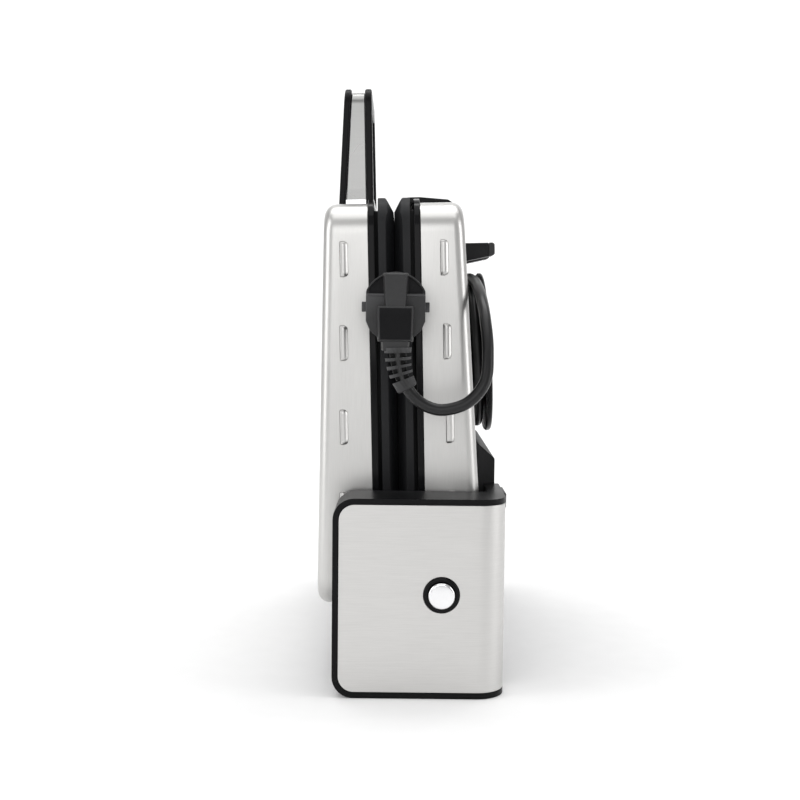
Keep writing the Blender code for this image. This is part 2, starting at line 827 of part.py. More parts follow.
def tower(side_name, side):
    low, high = sorted((side * 80.0, side * (TOWER_OUTER + 5)))
    housing = outline_object(
        side_name + "_tower_housing", tower_plan(side), 0.0, STAND_HEIGHT, GLOSS_BLACK, side_on=False
    )
    corners = outline_object(side_name + "_corners", front_outline(0.0, CORNER_RADIUS, 5), low, high, None)
    combine(housing, corners, "INTERSECT")
    recess = wrap_sheet(side_name + "_recess", side, CLADDING + 1 + GAP, 1.0, None)
    window = outline_object(
        side_name + "_recess_window", front_outline(BORDER - 0.3, 9.8, 5), low, high, None
    )
    combine(recess, window, "INTERSECT")
    combine(housing, recess)
    inner, outer = sorted((side * (TOWER_INNER + TOWER_WALL), side * (TOWER_OUTER + 1)))
    pocket = box(
        side_name + "_pocket",
        (STAND_LEFT + 9, inner, 9),
        (STAND_RIGHT - WRAP_RADIUS, outer, STAND_HEIGHT - 9),
        None,
    )
    combine(housing, pocket)
    pin_bore = rod(
        side_name + "_pin_bore",
        (HINGE_X, side * 120, HINGE_Z),
        (HINGE_X, side * 135, HINGE_Z),
        PIN_RADIUS + GAP,
        None,
    )
    combine(housing, pin_bore)
    cladding = wrap_sheet(side_name + "_tower_cladding", side, CLADDING, 0.0, STEEL)
    panel = outline_object(side_name + "_panel", front_outline(BORDER, 9.5, 5), low, high, None)
    combine(cladding, panel, "INTERSECT")
    hole = rod(
        side_name + "_ring_hole",
        (BUTTON_X, side * (TOWER_OUTER - 8), BUTTON_Z),
        (BUTTON_X, side * (TOWER_OUTER + 8), BUTTON_Z),
        RING_RADIUS + GAP,
        None,
        sides=32,
    )
    combine(cladding, hole)
    return housing


def facing(side, x, y, z):
    """A frame whose Z runs out of the tower's face."""
    turn = Matrix.Rotation(math.radians(-90 * side), 4, "X")
    return Matrix.Translation((x * MM, side * y * MM, z * MM)) @ turn


def button(side_name, side):
    """A ring in the tower's face, the release button in it, and the spring behind the button."""
    frame = facing(side, BUTTON_X, TOWER_OUTER, BUTTON_Z)
    inner = BUTTON_RADIUS + GAP
    turned(
        side_name + "_button_ring",
        [
            (inner, 1.0),
            (RING_RADIUS - 0.6, 1.0),
            (RING_RADIUS, 0.4),
            (RING_RADIUS, -1.6),
            (RING_RADIUS, -14.0),
            (inner, -14.0),
        ],
        GLOSS_BLACK,
        matrix=frame,
    )
    slider = empty(side_name + "_button_slide_axis", frame)
    cap = turned(
        side_name + "_release_button",
        [
            (0, BUTTON_PROUD),
            (BUTTON_RADIUS - 1.2, BUTTON_PROUD),
            (BUTTON_RADIUS, BUTTON_PROUD - 1.2),
            (BUTTON_RADIUS, -11.0),
            (0, -11.0),
        ],
        CHROME,
        matrix=frame,
    )
    cap.parent = slider
    cap.matrix_local = Matrix.Identity(4)
    turns, coil_radius, low, high = 4, 5.0, -29.0, -12.2
    points = []
    for step in range(turns * 10 + 1):
        angle = 2 * math.pi * step / 10
        rise = (high - low) * step / (turns * 10)
        points.append((coil_radius * math.cos(angle), coil_radius * math.sin(angle), low + rise))
    tube(side_name + "_button_spring", points, 0.6, ZINC, matrix=frame, resolution=1)


PAD_PROUD = 2.5
for side_name, side in SIDES.items():
    tower(side_name, side)
    button(side_name, side)
    low, high = sorted((side * 94.0, side * 121.0))
    box(
        side_name + "_stand_pad",
        (STAND_RIGHT + GAP, low, STAND_HEIGHT - 11),
        (STAND_RIGHT + PAD_PROUD, high, STAND_HEIGHT - 1.5),
        RUBBER,
        bevel=0.8,
    )
    low, high = sorted((side * (BODY_HALF_WIDTH + GAP), side * (TOWER_INNER - GAP)))
    bracket = rounded([(14.5, 56, 4), (42, 56, 4), (42, 112, 4), (14.5, 112, 4)], 3)
    outline_object(side_name + "_body_bracket", bracket, low, high, ZINC)

BRIDGE_HALF = FLANGE_INNER - GAP
BRIDGE_OUTER_X = 54.6
BRIDGE_TOP_Z = 138.0
bridge_profile = rounded(
    [
        (47.6, 5, 1.0),
        (BRIDGE_OUTER_X, 5, 1.5),
        (BRIDGE_OUTER_X, BRIDGE_TOP_Z, 2.0),
        (44.0, 147.4, 0.8),
        (42.4, 147.4, 0.4),
        (47.6, 47, 1.0),
    ],
    3,
)
outline_object("bridge", bridge_profile, -BRIDGE_HALF, BRIDGE_HALF, MATT_BLACK)
for side_name, side in SIDES.items():
    rod(
        side_name + "_bridge_screw",
        (BRIDGE_OUTER_X + 0.2, side * 60, 30),
        (BRIDGE_OUTER_X + 2.2, side * 60, 30),
        3.5,
        ZINC,
        end_radius=2.6,
        sides=16,
    )


# ---------------------------------------------------------------- front feet and lip

FOOT_V = 25.0
FOOT_HALF_WIDTH = 9.0
FOOT_TIP_U = 69.2
FOOT_SPLIT_U = 65.0
for side_name, side in SIDES.items():
    low, high = side * FOOT_V - FOOT_HALF_WIDTH, side * FOOT_V + FOOT_HALF_WIDTH
    foot = rounded(
        [
            (outer_u(218.2) + 0.2, 218.2, 0.5),
            (FOOT_SPLIT_U, 222.0, 0.5),
            (FOOT_SPLIT_U, 231.3, 0.5),
            (outer_u(231.3) + 0.4, 231.3, 0.5),
        ],
        2,
    )
    outline_object(side_name + "_front_foot", foot, low, high, MATT_BLACK, matrix=BODY_FRAME)
    tip = rounded(
        [
            (FOOT_SPLIT_U + GAP, 222.0, 0.5),
            (FOOT_TIP_U, 222.9, 1.8),
            (FOOT_TIP_U, 231.4, 1.8),
            (FOOT_SPLIT_U + GAP, 231.4, 0.5),
        ],
        3,
    )
    outline_object(
        side_name + "_foot_tip", tip, low, high, RUBBER, matrix=BODY_FRAME
    )

LIP_HALF_WIDTH = 60.0
lip = rounded(
    [
        (7.7, BEZEL_FRONT + 1.2, 0.8),
        (7.7, 260.8, 1.5),
        (17.3, 260.9, 1.0),
        (36.2, 259.0, 2.0),
        (40.5, 256.0, 1.5),
        (37.0, BODY_LENGTH + GAP, 0.5),
        (17.6, BODY_LENGTH + GAP, 0.3),
        (17.6, BEZEL_FRONT + 1.2, 0.3),
    ],
    2,
)
outline_object("front_lip", lip, -LIP_HALF_WIDTH, LIP_HALF_WIDTH, MATT_BLACK, matrix=BODY_FRAME)


# ---------------------------------------------------------------- cord spool and winding

SPOOL_TURNED = SPOOL_FRAME @ ALONG_X
CORD_RADIUS = CORD_DIAMETER / 2
TURNS = (TURN_LAST - TURN_FIRST) / 7.4
START_DEG = 90.0 - 360.0 * TURNS
LEAD_IN_RADIUS = 30.0
LEAD_IN_DEG = 120.0
RELIEF_LENGTH = 22.0
WINDING_MIDDLE = 5.8


def spool_point(radius, degrees):
    """A point of the winding's plane, in spool axes: 0 degrees at +Y and 90 degrees at the top."""
    angle = math.radians(degrees)
    return Vector((WINDING_MIDDLE, radius * math.cos(angle), radius * math.sin(angle)))


def lead_in_point(back_deg):
    """The cord inside the core: an arc that meets the first turn from within."""
    centre = spool_point(TURN_FIRST - LEAD_IN_RADIUS, START_DEG)
    arm = spool_point(LEAD_IN_RADIUS, START_DEG - back_deg)
    return Vector((WINDING_MIDDLE, centre.y + arm.y, centre.z + arm.z))


core = turned(
    "spool_core",
    [
        (CORE_RADIUS, SPOOL_GAP - GAP),
        (CORE_RADIUS, 0.4),
        (0, 0.4),
        (0, 1.1),
        (CORE_RADIUS - CORE_WALL, 1.1),
        (CORE_RADIUS - CORE_WALL, SPOOL_GAP - GAP),
    ],
    MATT_BLACK,
    matrix=SPOOL_TURNED,
    steps=40,
)
opening_outline = [(0.0, 0.0)]
for opening_step in range(9):
    opening_angle = math.radians(START_DEG - 84 + 9.5 * opening_step)
    opening_outline.append((60 * math.cos(opening_angle), 60 * math.sin(opening_angle)))
# Spool Y, Z into the outline's own X, Y, extruded along the spool's X
SPOOL_PLANE = SPOOL_FRAME @ ACROSS_SEAM
opening = outline_object(
    "core_opening", opening_outline, 1.11, SPOOL_GAP + 3, None, ROOT, SPOOL_PLANE, side_on=False
)
combine(core, opening)
turned(
    "spool_flange",
    [
        (0, SPOOL_GAP + SPOOL_FLANGE),
        (FLANGE_RADIUS - 2.0, SPOOL_GAP + SPOOL_FLANGE),
        (FLANGE_RADIUS, SPOOL_GAP + SPOOL_FLANGE - 2.0),
        (FLANGE_RADIUS, SPOOL_GAP + 1.0),
        (FLANGE_RADIUS - 1.0, SPOOL_GAP),
        (0, SPOOL_GAP),
    ],
    MATT_BLACK,
    matrix=SPOOL_TURNED,
    steps=48,
)
turned(
    "spool_screw",
    [
        (0, SPOOL_GAP + SPOOL_FLANGE + 2.4),
        (3.0, SPOOL_GAP + SPOOL_FLANGE + 2.2),
        (4.5, SPOOL_GAP + SPOOL_FLANGE + 1.0),
        (4.5, SPOOL_GAP + SPOOL_FLANGE + 0.2),
        (0, SPOOL_GAP + SPOOL_FLANGE + 0.2),
    ],
    ZINC,
    matrix=SPOOL_TURNED,
    steps=20,
)
coil_inner, coil_outer = TURN_FIRST - CORD_RADIUS + 0.05, TURN_LAST + CORD_RADIUS
turned(
    "cord_coil",
    [
        (coil_outer - 1.0, WINDING_MIDDLE + CORD_RADIUS),
        (coil_outer, WINDING_MIDDLE + CORD_RADIUS - 1.0),
        (coil_outer, WINDING_MIDDLE - CORD_RADIUS + 1.0),
        (coil_outer - 1.0, WINDING_MIDDLE - CORD_RADIUS),
        (coil_inner, WINDING_MIDDLE - CORD_RADIUS),
        (coil_inner, WINDING_MIDDLE + CORD_RADIUS),
    ],
    CORD_BLACK,
    matrix=SPOOL_TURNED,
    steps=40,
)
relief_end = lead_in_point(LEAD_IN_DEG)
relief_heading = (lead_in_point(LEAD_IN_DEG - 1) - relief_end).normalized()
rod(
    "cord_entry_relief",
    relief_end - relief_heading * (RELIEF_LENGTH + GAP),
    relief_end - relief_heading * GAP,
    4.4,
    RUBBER,
    end_radius=3.9,
    sides=16,
    matrix=SPOOL_FRAME,
)


# ---------------------------------------------------------------- lead, plug and its holder

tube("cord_lead", smooth_route(LEAD_ROUTE, 16.0), CORD_RADIUS, CORD_BLACK, resolution=2)

tube(
    "plug_relief",
    smooth_route(RELIEF_ROUTE, 4.0),
    RELIEF_ROOT_RADIUS,
    RUBBER,
    resolution=3,
    end_radius=RELIEF_TIP_RADIUS,
)
# The moulding's outline: a disc with flattened flanks that narrows below, towards the cord
plug_outline = []
for arc_step in range(13):
    arc_angle = math.radians(PLUG_FLANK_DEG + (180 - 2 * PLUG_FLANK_DEG) * arc_step / 12)
    plug_outline.append(
        (PLUG_X + PLUG_RADIUS * math.cos(arc_angle), PLUG_Z + PLUG_RADIUS * math.sin(arc_angle))
    )
plug_flank = PLUG_RADIUS * math.cos(math.radians(PLUG_FLANK_DEG))
for out, down in ((plug_flank, 9.8), (15.0, 15.6), (8.4, 21.2)):
    plug_outline.insert(0, (PLUG_X + out, PLUG_Z - down))
    plug_outline.append((PLUG_X - out, PLUG_Z - down))
plug = outline_object("plug_body", plug_outline, PLUG_BACK_Y + 8, PLUG_FACE_Y, RUBBER)
back_outline = rounded(
    [
        (-19.9, 214.5, 2.0),
        (-17.0, 211.0, 2.0),
        (-1.8, 211.0, 2.0),
        (0.6, 214.5, 2.0),
        (0.6, 233.6, 2.5),
        (-3.4, 235.0, 2.0),
        (-3.4, 253.6, 3.0),
        (-18.9, 253.6, 3.0),
        (-18.9, 235.0, 2.0),
        (-19.9, 233.6, 1.0),
    ],
    2,
)
back = outline_object("plug_back", back_outline, PLUG_BACK_Y, PLUG_BACK_Y + 14, None)
combine(plug, back, "UNION")
combine(plug, box("plug_ears", (-31.4, -154, 232.3), (9.2, -146, 237.4), None), "UNION")
for pin_name, pin_side in (("plug_pin_1", -1), ("plug_pin_2", 1)):
    pin_x = PLUG_X + pin_side * PIN_PITCH / 2
    rod(
        pin_name,
        (pin_x, PLUG_FACE_Y + GAP, PLUG_Z),
        (pin_x, PLUG_FACE_Y + 17.5, PLUG_Z),
        2.4,
        CHROME,
        sides=16,
    )

holder = box(
    "plug_holder",
    (PLUG_X - 15, PLUG_FACE_Y + 0.4, PLUG_Z - 12),
    (PLUG_X + 15.5, -BODY_HALF_WIDTH - 0.9, PLUG_Z + 12),
    MATT_BLACK,
    bevel=1.2,
)
for pin_side in (-1, 1):
    pin_x = PLUG_X + pin_side * PIN_PITCH / 2
    combine(
        holder,
        rod(
            f"holder_bore_{pin_side + 1}",
            (pin_x, PLUG_FACE_Y - 3, PLUG_Z),
            (pin_x, PLUG_FACE_Y + 18.0, PLUG_Z),
            2.8,
            None,
            sides=16,
        ),
    )
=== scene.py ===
"""The looks of the waffle maker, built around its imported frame.

The scene is in metres. Most shapes are made in millimetres first.
"""

import json
import math

import bmesh
import bpy
from mathutils import Matrix, Vector


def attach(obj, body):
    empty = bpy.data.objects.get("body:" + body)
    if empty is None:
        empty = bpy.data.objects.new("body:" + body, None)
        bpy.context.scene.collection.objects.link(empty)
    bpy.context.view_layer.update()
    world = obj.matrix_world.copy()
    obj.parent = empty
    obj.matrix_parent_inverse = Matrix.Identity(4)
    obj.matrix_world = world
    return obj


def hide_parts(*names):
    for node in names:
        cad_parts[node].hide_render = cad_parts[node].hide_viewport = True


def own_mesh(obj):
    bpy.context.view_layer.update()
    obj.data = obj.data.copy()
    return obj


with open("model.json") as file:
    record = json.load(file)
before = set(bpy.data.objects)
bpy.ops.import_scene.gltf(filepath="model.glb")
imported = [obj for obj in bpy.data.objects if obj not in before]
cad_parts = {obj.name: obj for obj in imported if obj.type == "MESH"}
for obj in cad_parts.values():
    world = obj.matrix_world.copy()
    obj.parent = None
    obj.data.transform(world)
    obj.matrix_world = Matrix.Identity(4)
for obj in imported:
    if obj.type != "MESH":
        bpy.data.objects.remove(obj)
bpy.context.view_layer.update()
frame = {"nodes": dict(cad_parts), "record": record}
NODES = frame["nodes"]
BODIES = frame["record"]["behaviour"]["bodies"]
BODY_OF = {node: body for body, members in BODIES.items() for node in members}

MM = 0.001
SIDES = {"left": -1, "right": 1}

# The baking body's own axes: u across the seam, v along Y, w from rear to front
LEAN_DEG = 1.58
BODY_LENGTH = 253.2
BODY_HALF_WIDTH = 120.0
SEAM_HALF_GAP = 16.6
OUTER_REAR = 53.5
OUTER_FRONT = 43.5
PLAN_RADIUS = 20.0
BODY_REAR = -2.8
BODY_FRAME = Matrix.Translation((-6.2 * MM, 0, 48.8 * MM)) @ Matrix.Rotation(
    math.radians(-LEAN_DEG), 4, "Y"
)
DRAFT = math.atan((OUTER_REAR - OUTER_FRONT) / BODY_LENGTH)


def outer_u(w):
    """Distance of a half's outer face from the seam's middle plane, in millimetres."""
    return OUTER_REAR + (OUTER_FRONT - OUTER_REAR) * w / BODY_LENGTH


# ---------------------------------------------------------------- camera

CAMERA_PLACE = Vector((-7.95, -849.0, 231.6)) * MM
CAMERA_PITCH_DEG = 4.2
CAMERA_ROLL_DEG = 0.6
CAMERA_LENS = 52.5


def make_camera():
    data = bpy.data.cameras.new("camera")
    data.lens = CAMERA_LENS
    data.sensor_width = 36.0
    data.clip_end = 20.0
    camera = bpy.data.objects.new("camera", data)
    bpy.context.scene.collection.objects.link(camera)
    camera.matrix_world = (
        Matrix.Translation(CAMERA_PLACE)
        @ Matrix.Rotation(math.radians(90 - CAMERA_PITCH_DEG), 4, "X")
        @ Matrix.Rotation(math.radians(CAMERA_ROLL_DEG), 4, "Z")
    )
    bpy.context.scene.camera = camera


make_camera()


# ---------------------------------------------------------------- materials


class Nodes:
    """A material's node tree, with short calls for the nodes used here."""

    def __init__(self, name, colour, roughness, metallic=0.0, **sockets):
        self.material = bpy.data.materials.new(name)
        self.material.use_nodes = True
        self.tree = self.material.node_tree
        self.shader = self.tree.nodes["Principled BSDF"]
        self.shader.inputs["Base Color"].default_value = (*colour, 1.0)
        self.shader.inputs["Roughness"].default_value = roughness
        self.shader.inputs["Metallic"].default_value = metallic
        for socket, value in sockets.items():
            self.shader.inputs[socket.replace("_", " ")].default_value = value
        self.place = self.node("ShaderNodeTexCoord").outputs["Object"]

    def node(self, kind, **settings):
        made = self.tree.nodes.new(kind)
        for name, value in settings.items():
            setattr(made, name, value)
        return made

    def link(self, out, into):
        self.tree.links.new(out, into)

    def noise(self, scale, stretch, detail):
        mapping = self.node("ShaderNodeMapping")
        mapping.inputs["Scale"].default_value = stretch
        self.link(self.place, mapping.inputs["Vector"])
        texture = self.node("ShaderNodeTexNoise")
        texture.inputs["Scale"].default_value = scale
        texture.inputs["Detail"].default_value = detail
        self.link(mapping.outputs["Vector"], texture.inputs["Vector"])
        return texture.outputs["Fac"]

    def ramp(self, value, low, high, start=0.3, end=0.7):
        """Maps a value in start..end to low..high, which are numbers or colours."""
        mapped = self.node("ShaderNodeValToRGB")
        first, last = mapped.color_ramp.elements
        first.position, last.position = start, end
        low = low if isinstance(low, tuple) else (low, low, low)
        high = high if isinstance(high, tuple) else (high, high, high)
        first.color = (*low, 1)
        last.color = (*high, 1)
        self.link(value, mapped.inputs["Fac"])
        return mapped.outputs["Color"]

    def bump(self, height, strength, distance, normal=None):
        made = self.node("ShaderNodeBump")
        made.inputs["Strength"].default_value = strength
        made.inputs["Distance"].default_value = distance
        self.link(height, made.inputs["Height"])
        if normal:
            self.link(normal, made.inputs["Normal"])
        return made.outputs["Normal"]

    def set(self, socket, out):
        self.link(out, self.shader.inputs[socket])


def brushed(name, colour, stretch, rough, shade=0.95):
    """Satin steel with its grain along one axis, faint clouding and fine scratches."""
    made = Nodes(name, colour, 0.33, 1.0)
    grain = made.noise(260.0, stretch, 5.0)
    clouds = made.noise(9.0, (1, 1, 1), 2.0)
    dark = tuple(channel * shade for channel in colour)
    made.set("Base Color", made.ramp(grain, dark, colour, 0.35, 0.65))
    made.set("Roughness", made.ramp(clouds, *rough, 0.25, 0.75))
    fine = made.bump(grain, 0.12, 0.00003)
    made.set("Normal", made.bump(clouds, 0.04, 0.0004, fine))
    return made.material


def plastic(name, colour, rough, grain_scale, grain_strength, edge, specular=0.3):
    """Moulded plastic or rubber: a fine surface grain, uneven gloss and a lighter colour on convex edges, a
    painted highlight.
    """
    made = Nodes(name, colour, sum(rough) / 2, 0.0, Specular_IOR_Level=specular)
    grain = made.noise(grain_scale, (1, 1, 1), 2.0)
    clouds = made.noise(14.0, (1, 1, 1), 3.0)
    made.set("Roughness", made.ramp(clouds, *rough, 0.3, 0.7))
    # Convex edges get the lighter edge colour: painted highlight along the edges.
    edge_highlight = made.node("ShaderNodeNewGeometry").outputs["Pointiness"]
    made.set("Base Color", made.ramp(edge_highlight, colour, edge, 0.52, 0.62))
    made.set("Normal", made.bump(grain, grain_strength, 0.0003))
    return made.material


SHELL_STEEL = brushed("shell_steel", (0.605, 0.6, 0.588), (10, 10, 0.25), (0.3, 0.42))
PANEL_STEEL = brushed("panel_steel", (0.645, 0.638, 0.626), (0.25, 0.25, 10), (0.36, 0.46))
# The handle band's steel is much darker than the other steel: painted shade.
SHADED_BAND_STEEL = brushed("band_steel_painted_shade", (0.33, 0.33, 0.325), (0.25, 0.25, 10), (0.24, 0.34))
CHROME = brushed("button_chrome", (0.88, 0.88, 0.89), (3, 3, 3), (0.08, 0.14), 0.98)
ZINC = brushed("zinc_steel", (0.48, 0.48, 0.48), (2, 2, 2), (0.35, 0.55), 0.8)
HOUSING = plastic(
    "housing_black", (0.004, 0.004, 0.0045), (0.3, 0.42), 700.0, 0.08, (0.016, 0.016, 0.017), 0.1
)
GLOSS = plastic(
    "gloss_black", (0.002, 0.002, 0.0022), (0.08, 0.16), 160.0, 0.03, (0.012, 0.012, 0.013), 0.12
)
SATIN = plastic(
    "satin_black", (0.0025, 0.0025, 0.003), (0.2, 0.32), 900.0, 0.1, (0.012, 0.012, 0.013), 0.12
)
MATT = plastic("matt_black", (0.005, 0.005, 0.0055), (0.42, 0.58), 1400.0, 0.22, (0.02, 0.02, 0.021), 0.18)
CAST = plastic("cast_coating", (0.006, 0.0062, 0.007), (0.4, 0.56), 700.0, 0.25, (0.022, 0.023, 0.025), 0.2)
RUBBER = plastic("plug_rubber", (0.019, 0.019, 0.0195), (0.42, 0.58), 1100.0, 0.25, (0.06, 0.06, 0.062))
JACKET = plastic(
    "cord_jacket", (0.005, 0.005, 0.0055), (0.28, 0.38), 420.0, 0.08, (0.012, 0.012, 0.013), 0.36
)
PAD = plastic("plug_pad", (0.004, 0.004, 0.0045), (0.34, 0.46), 900.0, 0.12, (0.014, 0.014, 0.015), 0.08)
LAMP_RED = plastic("lamp_red", (0.42, 0.02, 0.015), (0.08, 0.16), 300.0, 0.04, (0.5, 0.05, 0.04), 0.5)
LAMP_GREEN = plastic("lamp_green", (0.04, 0.3, 0.05), (0.08, 0.16), 300.0, 0.04, (0.08, 0.4, 0.1), 0.5)


# ---------------------------------------------------------------- piece makers


def piece(name, data, look, stands_for, smooth=40):
    """A new piece that stands for a CAD node, or for several, and moves with their body."""
    made = bpy.data.objects.new(name, data)
    bpy.context.scene.collection.objects.link(made)
    data.materials.append(look)
    nodes = [stands_for] if isinstance(stands_for, str) else list(stands_for)
    if isinstance(data, bpy.types.Mesh):
        data.shade_smooth()
        data.set_sharp_from_angle(angle=math.radians(smooth))
    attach(made, BODY_OF[nodes[0]])
    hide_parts(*nodes)
    return made


def mesh_from(shape, name, matrix=None):
    """A mesh in metres from a shape made in millimetres, placed by a matrix in metres."""
    bmesh.ops.scale(shape, vec=(MM, MM, MM), verts=shape.verts)
    if matrix:
        bmesh.ops.transform(shape, matrix=matrix, verts=shape.verts)
    mesh = bpy.data.meshes.new(name)
    shape.to_mesh(mesh)
    shape.free()
    return mesh


def soften(made, width, segments=3, angle=32):
    """Rounds the piece's edges with a bevel of that width in millimetres."""
    rounding = made.modifiers.new("rounding", "BEVEL")
    rounding.width = width * MM
    rounding.segments = segments
    rounding.limit_method = "ANGLE"
    rounding.angle_limit = math.radians(angle)
    rounding.harden_normals = True
    return made


def refined(node, look, width):
    """The CAD node's own shape with its edges rounded, as a moulded or pressed part has them."""
    shape = bmesh.new()
    shape.from_mesh(NODES[node].data)
    bmesh.ops.remove_doubles(shape, verts=shape.verts, dist=0.000005)
    bmesh.ops.dissolve_limit(
        shape, angle_limit=math.radians(0.8), verts=shape.verts, edges=shape.edges
    )
    mesh = bpy.data.meshes.new(node + "_fine")
    shape.to_mesh(mesh)
    shape.free()
    soften(piece(node + "_fine", mesh, look, node, 35), width, 2)


# ---------------------------------------------------------------- cord

CORD_DIAMETER = 7.2
SPOOL_V = -30.0
SPOOL_W = 155.0
TURN_FIRST = 40.5
TURN_LAST = 51.7
TURN_PITCH = 7.4
TURNS = (TURN_LAST - TURN_FIRST) / TURN_PITCH
START_DEG = 90.0 - 360.0 * TURNS
LEAD_IN_RADIUS = 30.0
LEAD_IN_DEG = 120.0
WINDING_MIDDLE = 5.8
SPOOL_FRAME = (
    BODY_FRAME
    @ Matrix.Translation((outer_u(SPOOL_W) * MM, SPOOL_V * MM, SPOOL_W * MM))
    @ Matrix.Rotation(-DRAFT, 4, "Y")
)
# The free stretch in millimetres, as routed in the CAD, then on into the plug's strain relief
LEAD_ROUTE = (
    (39.4, -60.0, 255.4),
    (40.6, -90.0, 251.8),
    (42.2, -115.0, 243.0),
    (43.7, -135.0, 228.5),
    (44.6, -148.0, 209.5),
    (42.4, -155.5, 191.5),
    (32.0, -158.0, 179.5),
    (17.5, -158.2, 175.2),
    (9.4, -158.2, 176.7),
    (3.0, -158.0, 180.3),
    (-1.6, -157.8, 185.0),
    (-5.2, -158.0, 190.4),
)


def polar(radius, degrees):
    angle = math.radians(degrees)
    return Vector((0, radius * math.cos(angle), radius * math.sin(angle)))


def smooth_route(route, steps=10):
    """Points in metres along a centripetal Catmull-Rom curve through points in millimetres."""
    ends = [2 * Vector(route[0]) - Vector(route[1])]
    ends += [Vector(point) for point in route]
    ends.append(2 * ends[-1] - ends[-2])
    dense = []
    for a, b, c, d in zip(ends, ends[1:], ends[2:], ends[3:]):
        first = (b - a).length ** 0.5
        second = first + (c - b).length ** 0.5
        last = second + (d - c).length ** 0.5
        for step in range(steps):
            t = first + (second - first) * step / steps
            share = step / steps
            before = a.lerp(b, t / first)
            between = b.lerp(c, share)
            after = c.lerp(d, (t - second) / (last - second))
            left = before.lerp(between, t / second)
            right = between.lerp(after, (t - first) / (last - first))
            dense.append(left.lerp(right, share) * MM)
    dense.append(ends[-2] * MM)
    return dense


def cord_line():
    """The whole cord's centreline: out of the core, round the winding, then the free stretch."""
    flat = []
    centre = polar(TURN_FIRST - LEAD_IN_RADIUS, START_DEG)
    for step in range(12):
        flat.append(centre + polar(LEAD_IN_RADIUS, START_DEG - LEAD_IN_DEG * (1 - step / 12)))
    count = round(TURNS * 40)
    for step in range(count + 1):
        share = step / count
        radius = TURN_FIRST + (TURN_LAST - TURN_FIRST) * share
        flat.append(polar(radius, START_DEG + 360 * TURNS * share))
    wound = [SPOOL_FRAME @ ((point + Vector((WINDING_MIDDLE, 0, 0))) * MM) for point in flat]
    free = smooth_route([point / MM for point in wound[-2:]] + list(LEAD_ROUTE))
    return wound[:-2] + free


def make_cord():
    line = cord_line()
    curve = bpy.data.curves.new("cord", "CURVE")
    curve.dimensions = "3D"
    curve.bevel_depth = CORD_DIAMETER / 2 * MM
    curve.bevel_resolution = 6
    curve.use_fill_caps = True
    spline = curve.splines.new("POLY")
    spline.points.add(len(line) - 1)
    for point, place in zip(spline.points, line):
        point.co = (*place, 1)
    spline.use_smooth = True
    made = piece("cord", curve, JACKET, ("cord_coil", "cord_lead"))
    length = sum((after - before).length for before, after in zip(line, line[1:]))
    return made, line[0], length


cord, cord_exit, cord_length = make_cord()


# ---------------------------------------------------------------- outlines and solids


def rounded(corners, steps):
    """A closed outline through (x, y, radius) corners, each rounded by an arc."""
    outline = []
    count = len(corners)
    for i, (x, y, radius) in enumerate(corners):
        here = Vector((x, y))
        before = (Vector(corners[i - 1][:2]) - here).normalized()
        after = (Vector(corners[(i + 1) % count][:2]) - here).normalized()
        if radius <= 0:
            outline.append(here)
            continue
        half = before.angle(after) / 2
        centre = here + (before + after).normalized() * radius / math.sin(half)
        first = here + before * radius / math.tan(half)
        last = here + after * radius / math.tan(half)
        sweep = (first - centre).angle_signed(last - centre)
        for step in range(steps + 1):
            arm = first - centre
            arm.rotate(Matrix.Rotation(-sweep * step / steps, 2))
            outline.append(centre + arm)
    return outline


def extruded(outline, low, high, side_on=True):
    """A flat outline made solid from low to high, along Y when side on and along Z otherwise."""
    shape = bmesh.new()
    ends = []
    for level in (low, high):
        if side_on:
            ends.append([shape.verts.new((a, level, b)) for a, b in outline])
        else:
            ends.append([shape.verts.new((a, b, level)) for a, b in outline])
    shape.faces.new(ends[0])
    shape.faces.new(ends[1])
    count = len(outline)
    for i in range(count):
        k = (i + 1) % count
        shape.faces.new((ends[0][i], ends[0][k], ends[1][k], ends[1][i]))
    bmesh.ops.recalc_face_normals(shape, faces=shape.faces)
    return shape


def cuboid(low, high):
    shape = bmesh.new()
    size = [b - a for a, b in zip(low, high)]
    middle = [(a + b) / 2 for a, b in zip(low, high)]
    matrix = Matrix.Translation(middle) @ Matrix.Diagonal((*size, 1))
    bmesh.ops.create_cube(shape, size=1.0, matrix=matrix)
    return shape


def strip(shape, rings):
    """Faces from each closed ring of vertices to the next."""
    for first, second in zip(rings, rings[1:]):
        for k in range(len(first)):
            n = (k + 1) % len(first)
            shape.faces.new((first[k], first[n], second[n], second[k]))


def lofted(rings):
    """A closed solid through rings of places, which all hold the same number of them."""
    shape = bmesh.new()
    rings = [[shape.verts.new(place) for place in ring] for ring in rings]
    strip(shape, rings)
    shape.faces.new(rings[0])
    shape.faces.new(rings[-1])
    bmesh.ops.recalc_face_normals(shape, faces=shape.faces)
    return shape


def rod_shape(start, end, radius, sides=40):
    shape = bmesh.new()
    start, end = Vector(start), Vector(end)
    turn = (end - start).to_track_quat("Z", "Y").to_matrix().to_4x4()
    bmesh.ops.create_cone(
        shape,
        cap_ends=True,
        segments=sides,
        radius1=radius,
        radius2=radius,
        depth=(end - start).length,
        matrix=Matrix.Translation((start + end) / 2) @ turn,
    )
    return shape


def turned_shape(profile, steps):
    """A solid of revolution round Z from a closed (radius, height) profile."""
    shape = bmesh.new()
    rings = []
    for radius, height in profile:
        if radius <= 0:
            rings.append([shape.verts.new((0, 0, height))])
            continue
        ring = []
        for step in range(steps):
            angle = 2 * math.pi * step / steps
            place = (radius * math.cos(angle), radius * math.sin(angle), height)
            ring.append(shape.verts.new(place))
        rings.append(ring)
    for first, second in zip(rings, rings[1:] + rings[:1]):
        if len(first) == len(second) == 1:
            continue
        for k in range(steps):
            n = (k + 1) % steps
            loop = [first[k % len(first)], first[n % len(first)]]
            loop += [second[n % len(second)], second[k % len(second)]]
            shape.faces.new(list(dict.fromkeys(loop)))
    bmesh.ops.recalc_face_normals(shape, faces=shape.faces)
    return shape


